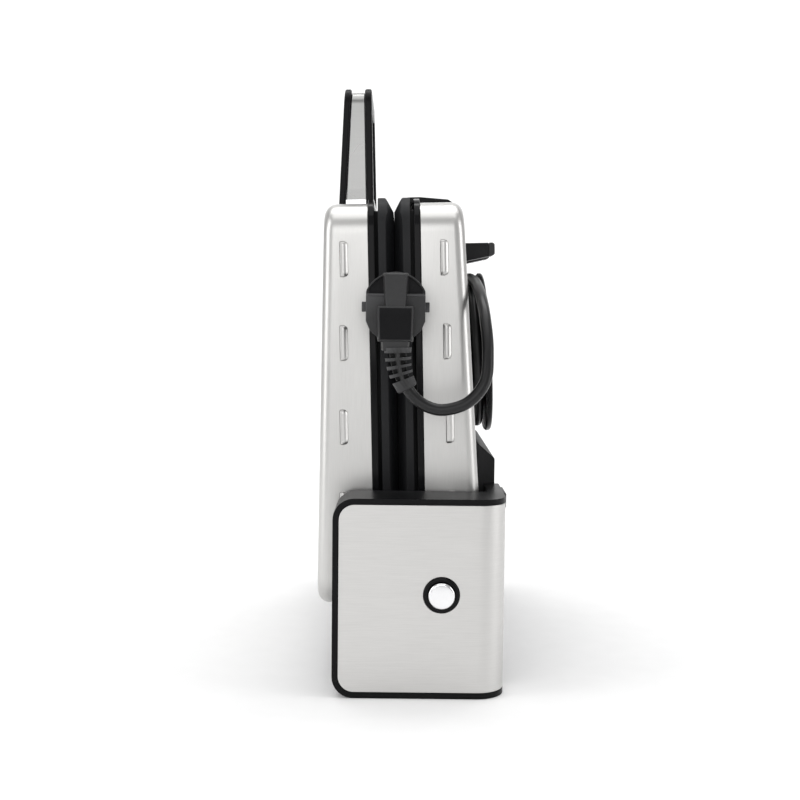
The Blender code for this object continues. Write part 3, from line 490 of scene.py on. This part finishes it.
def carved(base, steps, matrix=None):
    """The base solid after each (operation, shape) Boolean, as one mesh."""
    made = bpy.data.objects.new("base", mesh_from(base, "base", matrix))
    bpy.context.scene.collection.objects.link(made)
    tools = []
    for operation, shape in steps:
        tool = bpy.data.objects.new("tool", mesh_from(shape, "tool", matrix))
        bpy.context.scene.collection.objects.link(tool)
        cut = made.modifiers.new(operation, "BOOLEAN")
        cut.operation = operation
        cut.solver = "EXACT"
        cut.object = tool
        tools.append(tool)
    bpy.context.view_layer.update()
    graph = bpy.context.evaluated_depsgraph_get()
    whole = bpy.data.meshes.new_from_object(made.evaluated_get(graph))
    for old in [made, *tools]:
        bpy.data.objects.remove(old, do_unlink=True)
    return whole


def shape_of(mesh):
    """A shape in millimetres from a mesh in metres."""
    shape = bmesh.new()
    shape.from_mesh(mesh)
    bmesh.ops.scale(shape, vec=(1 / MM, 1 / MM, 1 / MM), verts=shape.verts)
    return shape


# ---------------------------------------------------------------- shells with rolled edges and louvres

SHELL_EDGE_RADIUS = 7.5
SHEET = 1.2
VENT_POSITIONS = (60.6, 112.7, 165.4, 217.5)
VENT_FIRST_U = 34.4
VENT_DRIFT = 0.02
SLOT_LEFT = 2.9
SLOT_RIGHT = 1.1
SLOT_HALF_LENGTH = 10.5
HOOD_LEFT = 2.6
HOOD_LENGTH = 22.4
HOOD_WIDTH = 5.0
HOOD_PROUD = 1.8
HOOD_SHEET = 0.5


def tray_rings(sign, inset):
    """The tray's rings from the seam over the rolled edge to its outer face, inset by a thickness."""
    levels = [(0.0, 0.0)]
    radius = SHELL_EDGE_RADIUS - inset
    for step in range(11):
        angle = math.radians(9 * step)
        levels.append((radius * (1 - math.sin(angle)), radius * (1 - math.cos(angle))))
    rings = []
    for k, (below, shrink) in enumerate(levels):
        edge = inset + shrink
        corner = max(PLAN_RADIUS - edge, 1.0)
        low_v, high_v = -BODY_HALF_WIDTH + edge, BODY_HALF_WIDTH - edge
        low_w, high_w = BODY_REAR + edge, BODY_LENGTH - edge
        corners = ((low_v, low_w), (high_v, low_w), (high_v, high_w), (low_v, high_w))
        plan = rounded([(v, w, corner) for v, w in corners], 14)
        ring = []
        for v, w in plan:
            u = SEAM_HALF_GAP if k == 0 else outer_u(w) - inset - below
            ring.append((sign * u, v, w))
        rings.append(ring)
    return rings


def shell_shape(sign):
    """The pressed tray of one half, a steel sheet with a softly rolled outer edge."""
    shape = bmesh.new()
    skins = []
    for inset in (0.0, SHEET):
        skins.append([[shape.verts.new(p) for p in ring] for ring in tray_rings(sign, inset)])
    outer, inner = skins
    for rings in (outer, inner, (outer[0], inner[0])):
        strip(shape, rings)
    for rings in skins:
        shape.faces.new(rings[-1])
    bmesh.ops.recalc_face_normals(shape, faces=shape.faces)
    return shape


def vent_middle(sign, w):
    """Where a louvre lies across the body: they drift inwards, as the body narrows upwards."""
    return sign * (VENT_FIRST_U - VENT_DRIFT * (w - VENT_POSITIONS[0]))


def louvre(shape, u, side, w):
    """A pressed hood: it rises from the sheet to a lip that hangs over the slot at its left."""
    across, along = 14, 32
    surface = side * BODY_HALF_WIDTH
    rows = []
    for i in range(across + 1):
        s = i / across
        row = []
        for j in range(along + 1):
            t = 2 * j / along - 1
            near_end = max(0.0, (abs(t) - 0.72) / 0.28)
            width = HOOD_WIDTH * (1 - 0.5 * (1 - math.sqrt(1 - near_end**2)))
            reach = math.sqrt(1 - near_end**3)
            slope = math.sin(math.pi / 2 * min(1.0, (1 - s) / 0.55))
            rise = HOOD_PROUD * reach * slope * (1 - max(0.0, 0.25 - s))
            out = surface + side * (rise - 0.05)
            row.append(shape.verts.new((u - HOOD_LEFT + width * s, out, w + HOOD_LENGTH / 2 * t)))
        rows.append(row)
    for near, far in zip(rows, rows[1:]):
        for k in range(along):
            shape.faces.new((near[k], near[k + 1], far[k + 1], far[k]))


def shell(name, sign):
    """One half's tray with its slots cut, and the louvres over them on both sides."""
    node = name + "_shell"
    slots = []
    hoods = bmesh.new()
    for w in VENT_POSITIONS:
        u = vent_middle(sign, w)
        for side in SIDES.values():
            face = side * BODY_HALF_WIDTH
            low = (u - SLOT_LEFT, face - 3, w - SLOT_HALF_LENGTH)
            high = (u - SLOT_RIGHT, face + 3, w + SLOT_HALF_LENGTH)
            slots.append(("DIFFERENCE", cuboid(low, high)))
            louvre(hoods, u, side, w)
    tray = carved(shell_shape(sign), slots, BODY_FRAME)
    piece(node + "_pressed", tray, SHELL_STEEL, node, 38)
    bmesh.ops.recalc_face_normals(hoods, faces=hoods.faces)
    made = piece(name + "_louvres", mesh_from(hoods, name, BODY_FRAME), SHELL_STEEL, node, 50)
    sheet = made.modifiers.new("sheet", "SOLIDIFY")
    sheet.thickness = HOOD_SHEET * MM
    sheet.offset = -1.0


shell("upper", -1)
shell("lower", 1)


# ---------------------------------------------------------------- stand

STAND_LEFT = -47.6
STAND_RIGHT = 57.2
STAND_HEIGHT = 121.6
TOWER_INNER = 125.0
TOWER_OUTER = 159.0
BORDER = 3.7
CORNER_RADIUS = 13.0
WRAP_RADIUS = 17.0
FLANGE_INNER = 89.0
FLANGE_THICKNESS = 9.8
CLADDING = 1.0
BUTTON_X = 18.2
BUTTON_Z = 63.6
BUTTON_RADIUS = 8.0
RING_RADIUS = 10.75
BUTTON_PROUD = 4.0
BUTTON_EDGE = 1.4
BUTTON_DOME = 0.35


def tower_plan(side):
    """The housing seen from above: a tower whose outer right edge is rounded, with its flange."""
    outline = rounded(
        [
            (STAND_LEFT, TOWER_INNER, 0),
            (STAND_RIGHT - FLANGE_THICKNESS, TOWER_INNER, 2.0),
            (STAND_RIGHT - FLANGE_THICKNESS, FLANGE_INNER, 1.5),
            (STAND_RIGHT, FLANGE_INNER, 1.5),
            (STAND_RIGHT, TOWER_OUTER, WRAP_RADIUS),
            (STAND_LEFT, TOWER_OUTER, 0),
        ],
        14,
    )
    return [(x, side * y) for x, y in outline]


def front_outline(inset, left_radius):
    """The tower's face seen side on, inset from its edges and reaching past its right one."""
    left, top = STAND_LEFT + inset, STAND_HEIGHT - inset
    right = STAND_RIGHT + 5
    corners = [(left, inset, left_radius), (right, inset, 1.5), (right, top, 1.5)]
    return rounded(corners + [(left, top, left_radius)], 12)


def wrap_sheet(side, proud, depth, left):
    """A vertical sheet over the tower's outer face that wraps round its right edge."""
    centre = Vector((STAND_RIGHT - WRAP_RADIUS, TOWER_OUTER - WRAP_RADIUS))
    outline = []
    for radius in (WRAP_RADIUS + proud, WRAP_RADIUS + proud - depth):
        line = [Vector((left, centre.y + radius))]
        for step in range(19):
            angle = math.radians(90 - 5 * step)
            line.append(centre + radius * Vector((math.cos(angle), math.sin(angle))))
        line.append(Vector((centre.x + radius, TOWER_INNER + 1 - proud)))
        outline += line if not outline else reversed(line)
    return extruded([(p.x, side * p.y) for p in outline], -5, STAND_HEIGHT + 5, side_on=False)


def tower(side_name, side):
    """The moulded housing with its shallow recess, and the steel sheet that lies in it."""
    low, high = sorted((side * 80.0, side * (TOWER_OUTER + 5)))
    whole = carved(
        extruded(tower_plan(side), 0.0, STAND_HEIGHT, side_on=False),
        [("INTERSECT", extruded(front_outline(0.0, CORNER_RADIUS), low, high))],
    )
    recess = carved(
        wrap_sheet(side, 1.0, CLADDING + 1.3, STAND_LEFT - 2),
        [("INTERSECT", extruded(front_outline(BORDER - 0.3, 9.8), low, high))],
    )
    moulded = carved(shape_of(whole), [("DIFFERENCE", shape_of(recess))])
    housing = side_name + "_tower_housing"
    soften(piece(housing + "_moulded", moulded, HOUSING, housing, 35), 0.7)

    frame_of_ring = rod_shape(
        (BUTTON_X, side * (TOWER_OUTER - 8), BUTTON_Z),
        (BUTTON_X, side * (TOWER_OUTER + 8), BUTTON_Z),
        RING_RADIUS + 0.3,
        sides=72,
    )
    panel = carved(
        wrap_sheet(side, 0.0, CLADDING, STAND_LEFT - 2),
        [
            ("INTERSECT", extruded(front_outline(BORDER, 9.5), low, high)),
            ("DIFFERENCE", frame_of_ring),
        ],
    )
    cladding = side_name + "_tower_cladding"
    soften(piece(cladding + "_pressed", panel, PANEL_STEEL, cladding, 35), 0.25, 2)


def button_frame(side):
    """A frame in the tower's face, with its Z pointing out of it."""
    turn = Matrix.Rotation(math.radians(-90 * side), 4, "X")
    return Matrix.Translation((BUTTON_X * MM, side * TOWER_OUTER * MM, BUTTON_Z * MM)) @ turn


def button(side_name, side):
    """The ring in the tower's face and the domed, chromed release button in it."""
    place = button_frame(side)
    inner = BUTTON_RADIUS + 0.3
    ring = [(inner, 0.6), (inner + 0.3, 1.0), (RING_RADIUS - 0.9, 1.0), (RING_RADIUS - 0.3, 0.75)]
    ring += [(RING_RADIUS, 0.2), (RING_RADIUS, -14.0), (inner, -14.0)]
    node = side_name + "_button_ring"
    piece(node + "_fine", mesh_from(turned_shape(ring, 80), node, place), GLOSS, node, 50)
    cap = [(0, BUTTON_PROUD)]
    flat = BUTTON_RADIUS - BUTTON_EDGE
    for step in range(1, 9):
        share = step / 8
        cap.append((flat * share, BUTTON_PROUD - BUTTON_DOME * share**2))
    for step in range(1, 7):
        angle = math.radians(15 * step)
        drop = BUTTON_DOME + BUTTON_EDGE * (1 - math.cos(angle))
        cap.append((flat + BUTTON_EDGE * math.sin(angle), BUTTON_PROUD - drop))
    cap += [(BUTTON_RADIUS, -11.0), (0, -11.0)]
    node = side_name + "_release_button"
    piece(node + "_fine", mesh_from(turned_shape(cap, 80), node, place), CHROME, node, 50)


SPRING_RADIUS = 5.0
SPRING_WIRE = 0.6
SPRING_BACK = -29.0
SPRING_FRONT = -12.2
SPRING_TURNS = 7


def spring(side_name, side):
    """The coil behind a button, with a mesh of its own."""
    rings = []
    count = SPRING_TURNS * 24
    for step in range(count + 1):
        share = step / count
        out = Vector((1, 0, 0))
        out.rotate(Matrix.Rotation(2 * math.pi * SPRING_TURNS * share, 3, "Z"))
        middle = out * SPRING_RADIUS
        middle.z = SPRING_BACK + (SPRING_FRONT - SPRING_BACK) * share
        ring = []
        for k in range(8):
            angle = math.radians(45 * k)
            around = out * math.cos(angle) + Vector((0, 0, math.sin(angle)))
            ring.append(middle + around * SPRING_WIRE)
        rings.append(ring)
    node = side_name + "_button_spring"
    mesh = mesh_from(lofted(rings), node, button_frame(side))
    made = piece(node + "_coil", mesh, ZINC, node, 50)
    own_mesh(made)


for side_name, side in SIDES.items():
    tower(side_name, side)
    button(side_name, side)
    spring(side_name, side)


# ---------------------------------------------------------------- lid arms

HINGE = Vector((-2.2, 62.0))
ARM_END = Vector((-42.0, 92.0))
ARM_ROOT_RADIUS = 9.0
ARM_END_RADIUS = 6.9
ARM_INNER = 121.4
ARM_OUTER = 124.4
PIN_BORE = 4.3
BORE_ENDS = (118, 128)


def arm_outline():
    """A bar with round ends that narrows from the hinge to the upper half's side."""
    line = ARM_END - HINGE
    heading = math.atan2(line.y, line.x)
    tangent = math.acos((ARM_ROOT_RADIUS - ARM_END_RADIUS) / line.length)
    outline = []
    for centre, radius, start, sweep in (
        (HINGE, ARM_ROOT_RADIUS, heading + tangent, 2 * (math.pi - tangent)),
        (ARM_END, ARM_END_RADIUS, heading - tangent, 2 * tangent),
    ):
        for step in range(25):
            angle = start + sweep * step / 24
            outline.append(centre + radius * Vector((math.cos(angle), math.sin(angle))))
    return outline


def lid_arm(side_name, side):
    """One steel arm, with the bore for its hinge pin."""
    low, high = sorted((side * ARM_INNER, side * ARM_OUTER))
    start, end = [(HINGE.x, side * y, HINGE.y) for y in BORE_ENDS]
    bore = rod_shape(start, end, PIN_BORE)
    plate = carved(extruded(arm_outline(), low, high), [("DIFFERENCE", bore)])
    node = side_name + "_lid_arm"
    soften(piece(node + "_fine", plate, ZINC, node, 35), 0.4, 2)


for side_name, side in SIDES.items():
    lid_arm(side_name, side)


# ---------------------------------------------------------------- handle

HANDLE_FOOT_W = 253.5
HANDLE_INNER_FOOT_W = 256.3
HANDLE_TOP_W = 336.6
HANDLE_HALF_WIDTH = 54
HANDLE_TOP_HALF_WIDTH = 49
HANDLE_STRAIGHT_W = 268
HANDLE_FOOT_BEND = 20
HANDLE_TOP_BEND = 12
HANDLE_DEPTH = 11.0
HANDLE_INNER_U = -18.6
HANDLE_INNER_RAIL = 4.7
HANDLE_OUTER_FOOT_U = -37.5
HANDLE_OUTER_TOP_U = -32.0
HANDLE_OUTER_RAIL = 4.5


def handle_path(foot_w):
    """The outside of the handle in v and w: straight feet, leaning legs and a top."""
    corners = [
        (-HANDLE_HALF_WIDTH, foot_w, 0),
        (-HANDLE_HALF_WIDTH, HANDLE_STRAIGHT_W, HANDLE_FOOT_BEND),
        (-HANDLE_TOP_HALF_WIDTH, HANDLE_TOP_W, HANDLE_TOP_BEND),
        (0, HANDLE_TOP_W, 0),
    ]
    half = rounded(corners, 10)
    half = [point for point in half if point.x < 0]
    return half + [Vector((-point.x, point.y)) for point in reversed(half)]


def outer_rail_u(w):
    """The outer rail leans in towards its top."""
    part = (w - HANDLE_FOOT_W) / (HANDLE_TOP_W - HANDLE_FOOT_W)
    return HANDLE_OUTER_FOOT_U + (HANDLE_OUTER_TOP_U - HANDLE_OUTER_FOOT_U) * part


def ribbon(node, low_u, high_u, recess, thickness, look, edge, foot_w=HANDLE_FOOT_W):
    """A strip of the handle along its path, between two lines in u, under the path's surface."""
    path = handle_path(foot_w)
    rings = []
    for i, point in enumerate(path):
        before, after = path[max(i - 1, 0)], path[min(i + 1, len(path) - 1)]
        along = (after - before).normalized()
        if i in (0, len(path) - 1):
            along = Vector((0, 1 if i == 0 else -1))
        inward = -Vector((-along.y, along.x))
        near, far = point + inward * recess, point + inward * (recess + thickness)
        low, high = low_u(point.y), high_u(point.y)
        rings.append(
            [(low, near.x, near.y), (high, near.x, near.y), (high, far.x, far.y), (low, far.x, far.y)]
        )
    mesh = mesh_from(lofted(rings), node, BODY_FRAME)
    soften(piece(node + "_fine", mesh, look, node, 40), edge, 4, 50)


BAND_LOW = HANDLE_OUTER_RAIL + 0.5
BAND_HIGH_U = -18.9


def fixed(u):
    """A line that stays at one u all the way up."""
    return lambda w: u


def leaning(offset):
    """A line that leans with the outer rail, at an offset from it."""
    return lambda w: outer_rail_u(w) + offset


ribbon("handle_outer_rail", leaning(0.0), leaning(HANDLE_OUTER_RAIL), 0.0, HANDLE_DEPTH, SATIN, 1.3)
ribbon(
    "handle_inner_rail",
    fixed(HANDLE_INNER_U),
    fixed(HANDLE_INNER_U + HANDLE_INNER_RAIL),
    0.0,
    HANDLE_DEPTH,
    SATIN,
    1.3,
    HANDLE_INNER_FOOT_W,
)
ribbon("handle_band", leaning(BAND_LOW), fixed(BAND_HIGH_U), 2.6, 1.4, SHADED_BAND_STEEL, 0.3)
ribbon("handle_core", leaning(BAND_LOW), fixed(BAND_HIGH_U), 4.4, 6.6, MATT, 0.4)

# Top of the bright block at each handle foot, a painted highlight.
FOOT_HIGHLIGHT_TOP_W = 260.6


def paint_foot_highlight(side_name, side):
    """A bright chrome block at the foot of one leg, between its rails: a painted highlight on the band's
    foot.
    """
    low_v, high_v = sorted((side * (HANDLE_HALF_WIDTH + 0.25), side * (HANDLE_HALF_WIDTH - 2.8)))
    low_u = outer_rail_u(HANDLE_FOOT_W) + BAND_LOW
    shape = cuboid((low_u, low_v, HANDLE_FOOT_W + 0.2), (BAND_HIGH_U, high_v, FOOT_HIGHLIGHT_TOP_W))
    mesh = mesh_from(shape, "foot_highlight_block", BODY_FRAME)
    soften(piece(side_name + "_handle_foot_highlight", mesh, CHROME, "handle_band", 35), 0.3, 2)


for side_name, side in SIDES.items():
    paint_foot_highlight(side_name, side)


# ---------------------------------------------------------------- plug and its strain relief

PLUG_X = -11.1
PLUG_Z = 237.3
PLUG_RADIUS = 19.3
PLUG_FLANK = 17.6
PLUG_FLANK_DEG = 24.2
PLUG_STEP_Z = PLUG_Z + 5.6
WEDGE_ROOT_Y = -156.0
RELIEF_ROUTE = (
    (-9.6, -158.6, 212.0),
    (-9.4, -158.5, 207.0),
    (-8.6, -158.4, 200.5),
    (-6.3, -158.1, 192.8),
    (-3.4, -157.9, 187.4),
)


def plug_outline():
    """A round plug with flattened flanks, narrowing below to the cord."""
    outline = []
    for step in range(25):
        angle = math.radians(PLUG_FLANK_DEG + (180 - 2 * PLUG_FLANK_DEG) * step / 24)
        x, z = PLUG_RADIUS * math.cos(angle), PLUG_RADIUS * math.sin(angle)
        outline.append((PLUG_X + x, PLUG_Z + z))
    below = [(PLUG_FLANK, -9.8), (15.0, -15.6), (8.4, -21.2)]
    outline += [(PLUG_X - x, PLUG_Z + z) for x, z in below]
    outline += [(PLUG_X + x, PLUG_Z + z) for x, z in reversed(below)]
    return outline


def wedge(rows):
    """A solid through rows of (z, half width at the root, half width at the front, front y)."""
    rings = []
    for z, root, front, y in rows:
        places = ((-root, WEDGE_ROOT_Y), (-front, y), (front, y), (root, WEDGE_ROOT_Y))
        rings.append([(PLUG_X + x, depth, PLUG_Z + z) for x, depth in places])
    return lofted(rings)


def joined(shapes, name):
    """Several solids as one mesh."""
    whole = bmesh.new()
    for shape in shapes:
        part = bpy.data.meshes.new("part")
        shape.to_mesh(part)
        shape.free()
        whole.from_mesh(part)
        bpy.data.meshes.remove(part)
    return mesh_from(whole, name)


def arc_rail(radius, width, low_y, high_y):
    """The raised rim along the top of the plug's disc."""
    outline = []
    for reach, steps in ((radius, range(33)), (radius - width, range(32, -1, -1))):
        for step in steps:
            angle = math.radians(25 + 130 * step / 32)
            outline.append((PLUG_X + reach * math.cos(angle), PLUG_Z + reach * math.sin(angle)))
    return extruded(outline, low_y, high_y)


def make_plug():
    """The plug's moulding with its raised lower part and rim, its dark pad, and a dark sheet in its recess,
    painted shade.
    """
    lower = [(x, z) for x, z in plug_outline() if z < PLUG_STEP_Z]
    lower = [(PLUG_X - PLUG_FLANK, PLUG_STEP_Z), *lower, (PLUG_X + PLUG_FLANK, PLUG_STEP_Z)]
    shapes = [
        extruded(plug_outline(), -155.4, -140.0),
        extruded(lower, -159.6, -154.0),
        arc_rail(PLUG_RADIUS, 1.1, -157.6, -154.0),
        cuboid((PLUG_X - 17.0, -160.3, PLUG_Z + 4.9), (PLUG_X + 17.0, -158.0, PLUG_Z + 6.4)),
        cuboid((PLUG_X - 20.2, -154.0, PLUG_Z - 4.4), (PLUG_X + 20.2, -146.5, PLUG_Z + 1.6)),
        wedge([(18.7, 7.6, 6.2, -160.4), (17.6, 7.9, 6.5, -162.0), (-2.0, 6.9, 5.6, -166.4)]),
        wedge(
            [
                (-1.0, 11.4, 10.3, -166.9),
                (-6.0, 11.4, 10.4, -166.9),
                (-21.3, 10.8, 9.9, -163.8),
                (-22.0, 10.2, 9.2, -162.6),
            ]
        ),
        wedge([(-20.5, 8.6, 7.6, -163.2), (-27.2, 8.3, 7.2, -164.0)]),
        cuboid((PLUG_X - 6.6, -158.0, PLUG_Z - 27.2), (PLUG_X + 7.4, -151.6, PLUG_Z - 19.0)),
    ]
    made = piece("plug_moulding", joined(shapes, "plug"), RUBBER, "plug_body", 30)
    pad = wedge([(-2.0, 9.8, 9.5, -167.0), (-6.0, 9.8, 9.5, -167.0), (-20.6, 9.3, 9.0, -164.1)])
    soften(piece("plug_pad", mesh_from(pad, "plug_pad"), PAD, "plug_body", 30), 0.3, 2, 25)
    # A thin dark sheet over the recessed upper face of the disc: painted shade.
    dome = [(x, z) for x, z in plug_outline() if z > PLUG_Z + 9.0]
    dome = [(PLUG_X + 0.93 * (x - PLUG_X), PLUG_Z + 0.93 * (z - PLUG_Z)) for x, z in dome]
    dome = [(PLUG_X + 16.2, PLUG_STEP_Z), *dome, (PLUG_X - 16.2, PLUG_STEP_Z)]
    recess = extruded(dome, -155.8, -155.0)
    piece("plug_recess_shade", mesh_from(recess, "plug_recess_shade"), PAD, "plug_body", 30)
    return soften(made, 0.55, 3, 25)


RELIEF_SIDES = 48
RELIEF_HALF_WIDTH = 8.2
RELIEF_TAPER = 1.9
RELIEF_FLATNESS = 0.92
RELIEF_SLOTS = 4
SLOT_MOUTH = 1.35
SLOT_FLOOR = 1.15
SLOT_FIRST = 4.4
SLOT_PITCH = 4.5
SLOT_DEPTH = 3.3
RIB_HALF_WIDTH = 1.7


def relief_stations(length):
    """(distance along the boot, whether it is slotted there, how much it is rounded off there)."""
    stations = [(0.0, False, 0.0)]
    for slot in range(RELIEF_SLOTS):
        middle = SLOT_FIRST + SLOT_PITCH * slot
        stations += [(middle - SLOT_MOUTH, False, 0.0), (middle - SLOT_FLOOR, True, 0.0)]
        stations += [(middle + SLOT_FLOOR, True, 0.0), (middle + SLOT_MOUTH, False, 0.0)]
    return stations + [(length - 1.2, False, 0.0), (length - 0.4, False, 0.3), (length, False, 0.9)]


def relief_ring(middle, along, half, slotted):
    """The boot's places round its centreline, and whether each lies in a slot."""
    front = Vector((0, -1, 0))
    across = along.cross(front).normalized()
    ring, cut = [], []
    for k in range(RELIEF_SIDES):
        angle = 2 * math.pi * k / RELIEF_SIDES
        c, s = math.cos(angle), math.sin(angle)
        reach = half * (abs(c) ** 3 + abs(s) ** 3) ** (-1 / 3)
        inset = SLOT_DEPTH if slotted and abs(c * reach) > RIB_HALF_WIDTH else 0.0
        cut.append(inset > 0)
        aside = across * (c * (reach - inset * abs(c)))
        ring.append(middle + (aside + front * (s * (reach - inset) * RELIEF_FLATNESS)))
    return ring, cut


def make_relief():
    """A tapered, curved boot with pairs of slots either side of its front and back ribs."""
    line = smooth_route(RELIEF_ROUTE, 16)
    walked = [0.0]
    for before, after in zip(line, line[1:]):
        walked.append(walked[-1] + (after - before).length / MM)
    rings, cuts = [], []
    for place, slotted, rounding in relief_stations(walked[-1]):
        i = min(max(k for k, s in enumerate(walked) if s <= place + 1e-6), len(line) - 2)
        share = (place - walked[i]) / (walked[i + 1] - walked[i])
        middle = line[i].lerp(line[i + 1], share) / MM
        along = (line[i + 1] - line[i]).normalized()
        half = RELIEF_HALF_WIDTH - RELIEF_TAPER * place / walked[-1] - rounding
        ring, cut = relief_ring(middle, along, half, slotted)
        rings.append(ring)
        cuts.append(cut)
    shape = lofted(rings)
    # Faces inside the slots get the darker gloss black: painted shade in the slots.
    slot_shade = [cut[k] and cut[(k + 1) % RELIEF_SIDES] for cut in cuts[:-1] for k in range(RELIEF_SIDES)]
    for face, dark in zip(shape.faces, slot_shade):
        face.material_index = int(dark)
    made = piece("plug_boot", mesh_from(shape, "plug_boot"), RUBBER, "plug_relief", 40)
    made.data.materials.append(GLOSS)
    return made


plug = make_plug()
boot = make_relief()


# ---------------------------------------------------------------- spool

FLANGE_RADIUS = 55.0
SPOOL_GAP = 10.6
SPOOL_FLANGE = 5.0
SPOOL_TURNED = SPOOL_FRAME @ Matrix.Rotation(math.radians(90), 4, "Y")


def spool_flange():
    top = SPOOL_GAP + SPOOL_FLANGE
    profile = [(0, top - 1.0), (9.0, top - 1.0), (10.0, top), (FLANGE_RADIUS - 9, top)]
    profile += [(FLANGE_RADIUS - 8, top - 0.6), (FLANGE_RADIUS - 2.6, top - 0.6)]
    for step in range(6):
        angle = math.radians(18 * step)
        profile.append(
            (FLANGE_RADIUS - 2.0 + 2.0 * math.sin(angle), top - 2.6 + 2.0 * math.cos(angle))
        )
    profile += [(FLANGE_RADIUS, SPOOL_GAP + 1.2), (FLANGE_RADIUS - 1.2, SPOOL_GAP), (0, SPOOL_GAP)]
    mesh = mesh_from(turned_shape(profile, 128), "spool_flange", SPOOL_TURNED)
    piece("spool_flange_fine", mesh, SATIN, "spool_flange", 35)


def spool_screw():
    top = SPOOL_GAP + SPOOL_FLANGE
    profile = [(0, top + 1.1), (1.9, top + 1.1), (2.0, top + 2.2), (3.0, top + 2.2)]
    profile += [(4.1, top + 1.7), (4.5, top + 1.0), (4.5, top - 0.9), (0, top - 0.9)]
    mesh = mesh_from(turned_shape(profile, 48), "spool_screw", SPOOL_TURNED)
    piece("spool_screw_fine", mesh, ZINC, "spool_screw", 40)


spool_flange()
spool_screw()


# ---------------------------------------------------------------- the other pieces

FINE = {
    "lower_bezel": (GLOSS, 0.8),
    "upper_bezel": (GLOSS, 0.8),
    "lower_plate": (CAST, 0.35),
    "upper_plate": (CAST, 0.35),
    "bridge": (MATT, 0.6),
    "front_lip": (SATIN, 0.5),
    "left_front_foot": (MATT, 0.5),
    "right_front_foot": (MATT, 0.5),
    "left_foot_tip": (RUBBER, 0.5),
    "right_foot_tip": (RUBBER, 0.5),
    "left_stand_pad": (RUBBER, 0.4),
    "right_stand_pad": (RUBBER, 0.4),
    "plug_holder": (MATT, 0.6),
    "left_body_bracket": (ZINC, 0.4),
    "right_body_bracket": (ZINC, 0.4),
    "left_arm_spacer": (ZINC, 0.3),
    "right_arm_spacer": (ZINC, 0.3),
    "left_hinge_pin": (ZINC, 0.3),
    "right_hinge_pin": (ZINC, 0.3),
    "left_bridge_screw": (ZINC, 0.3),
    "right_bridge_screw": (ZINC, 0.3),
    "power_lamp": (LAMP_RED, 0.6),
    "ready_lamp": (LAMP_GREEN, 0.6),
    "plug_pin_1": (CHROME, 0.3),
    "plug_pin_2": (CHROME, 0.3),
}
for fine_node, (fine_look, fine_width) in FINE.items():
    refined(fine_node, fine_look, fine_width)

CARRIED = {
    "lower_heater": ZINC,
    "upper_heater": ZINC,
    "lower_reflector": ZINC,
    "upper_reflector": ZINC,
    "thermostat": MATT,
    "spool_core": MATT,
    "cord_entry_relief": RUBBER,
}
for carried_node, carried_look in CARRIED.items():
    for spot in NODES[carried_node].material_slots:
        spot.link = "OBJECT"
        spot.material = carried_look


# ---------------------------------------------------------------- floor, backdrop and light


FLOOR_HALF_WIDTH = 9.0
FLOOR_NEAR_Y = -9.0
FLOOR_DROP = 0.0002
SWEEP_Y = 1.6
SWEEP_RADIUS = 0.9
BACKDROP_TOP = 3.2


def make_floor():
    """A pale sweep: a floor that curves up into a backdrop behind the object."""
    shape = bmesh.new()
    line = [(FLOOR_NEAR_Y, 0.0), (SWEEP_Y, 0.0)]
    for step in range(1, 13):
        angle = math.radians(7.5 * step)
        y = SWEEP_Y + SWEEP_RADIUS * math.sin(angle)
        line.append((y, SWEEP_RADIUS - SWEEP_RADIUS * math.cos(angle)))
    line.append((SWEEP_Y + SWEEP_RADIUS, BACKDROP_TOP))
    rows = []
    for x in (-FLOOR_HALF_WIDTH, FLOOR_HALF_WIDTH):
        rows.append([shape.verts.new((x, y, z - FLOOR_DROP)) for y, z in line])
    for k in range(len(line) - 1):
        shape.faces.new((rows[0][k], rows[1][k], rows[1][k + 1], rows[0][k + 1]))
    mesh = bpy.data.meshes.new("sweep")
    shape.to_mesh(mesh)
    shape.free()
    mesh.shade_smooth()
    floor = bpy.data.objects.new("sweep", mesh)
    bpy.context.scene.collection.objects.link(floor)
    paper = Nodes("paper", (0.93, 0.93, 0.93), 0.9, Specular_IOR_Level=0.1)
    fibre = paper.noise(60.0, (1, 1, 1), 4.0)
    paper.set("Base Color", paper.ramp(fibre, (0.925, 0.925, 0.925), (0.94, 0.94, 0.94)))
    mesh.materials.append(paper.material)


def area(name, place, target, size, power):
    data = bpy.data.lights.new(name, "AREA")
    data.shape = "RECTANGLE"
    data.size, data.size_y = size
    data.energy = power
    light = bpy.data.objects.new(name, data)
    bpy.context.scene.collection.objects.link(light)
    light.location = place
    direction = Vector(target) - Vector(place)
    light.rotation_euler = direction.to_track_quat("-Z", "Y").to_euler()


def make_light():
    world = bpy.data.worlds.new("studio")
    bpy.context.scene.world = world
    world.use_nodes = True
    world.node_tree.nodes["Background"].inputs["Color"].default_value = (1, 1, 1, 1)
    world.node_tree.nodes["Background"].inputs["Strength"].default_value = 0.5
    middle = (0, 0, 0.18)
    area("front", (-0.4, -2.6, 1.0), middle, (2.0, 1.6), 14)
    area("left", (-1.8, -0.6, 0.8), middle, (0.9, 1.8), 12)
    area("right", (1.9, -0.5, 0.7), middle, (0.7, 1.6), 9)
    area("top", (0, -0.1, 2.0), middle, (1.8, 1.8), 13)
    area("backdrop", (0, 0.7, 2.4), (0, 2.4, 0.5), (3.0, 1.0), 32)
    bpy.context.scene.view_settings.view_transform = "Standard"


make_floor()
make_light()
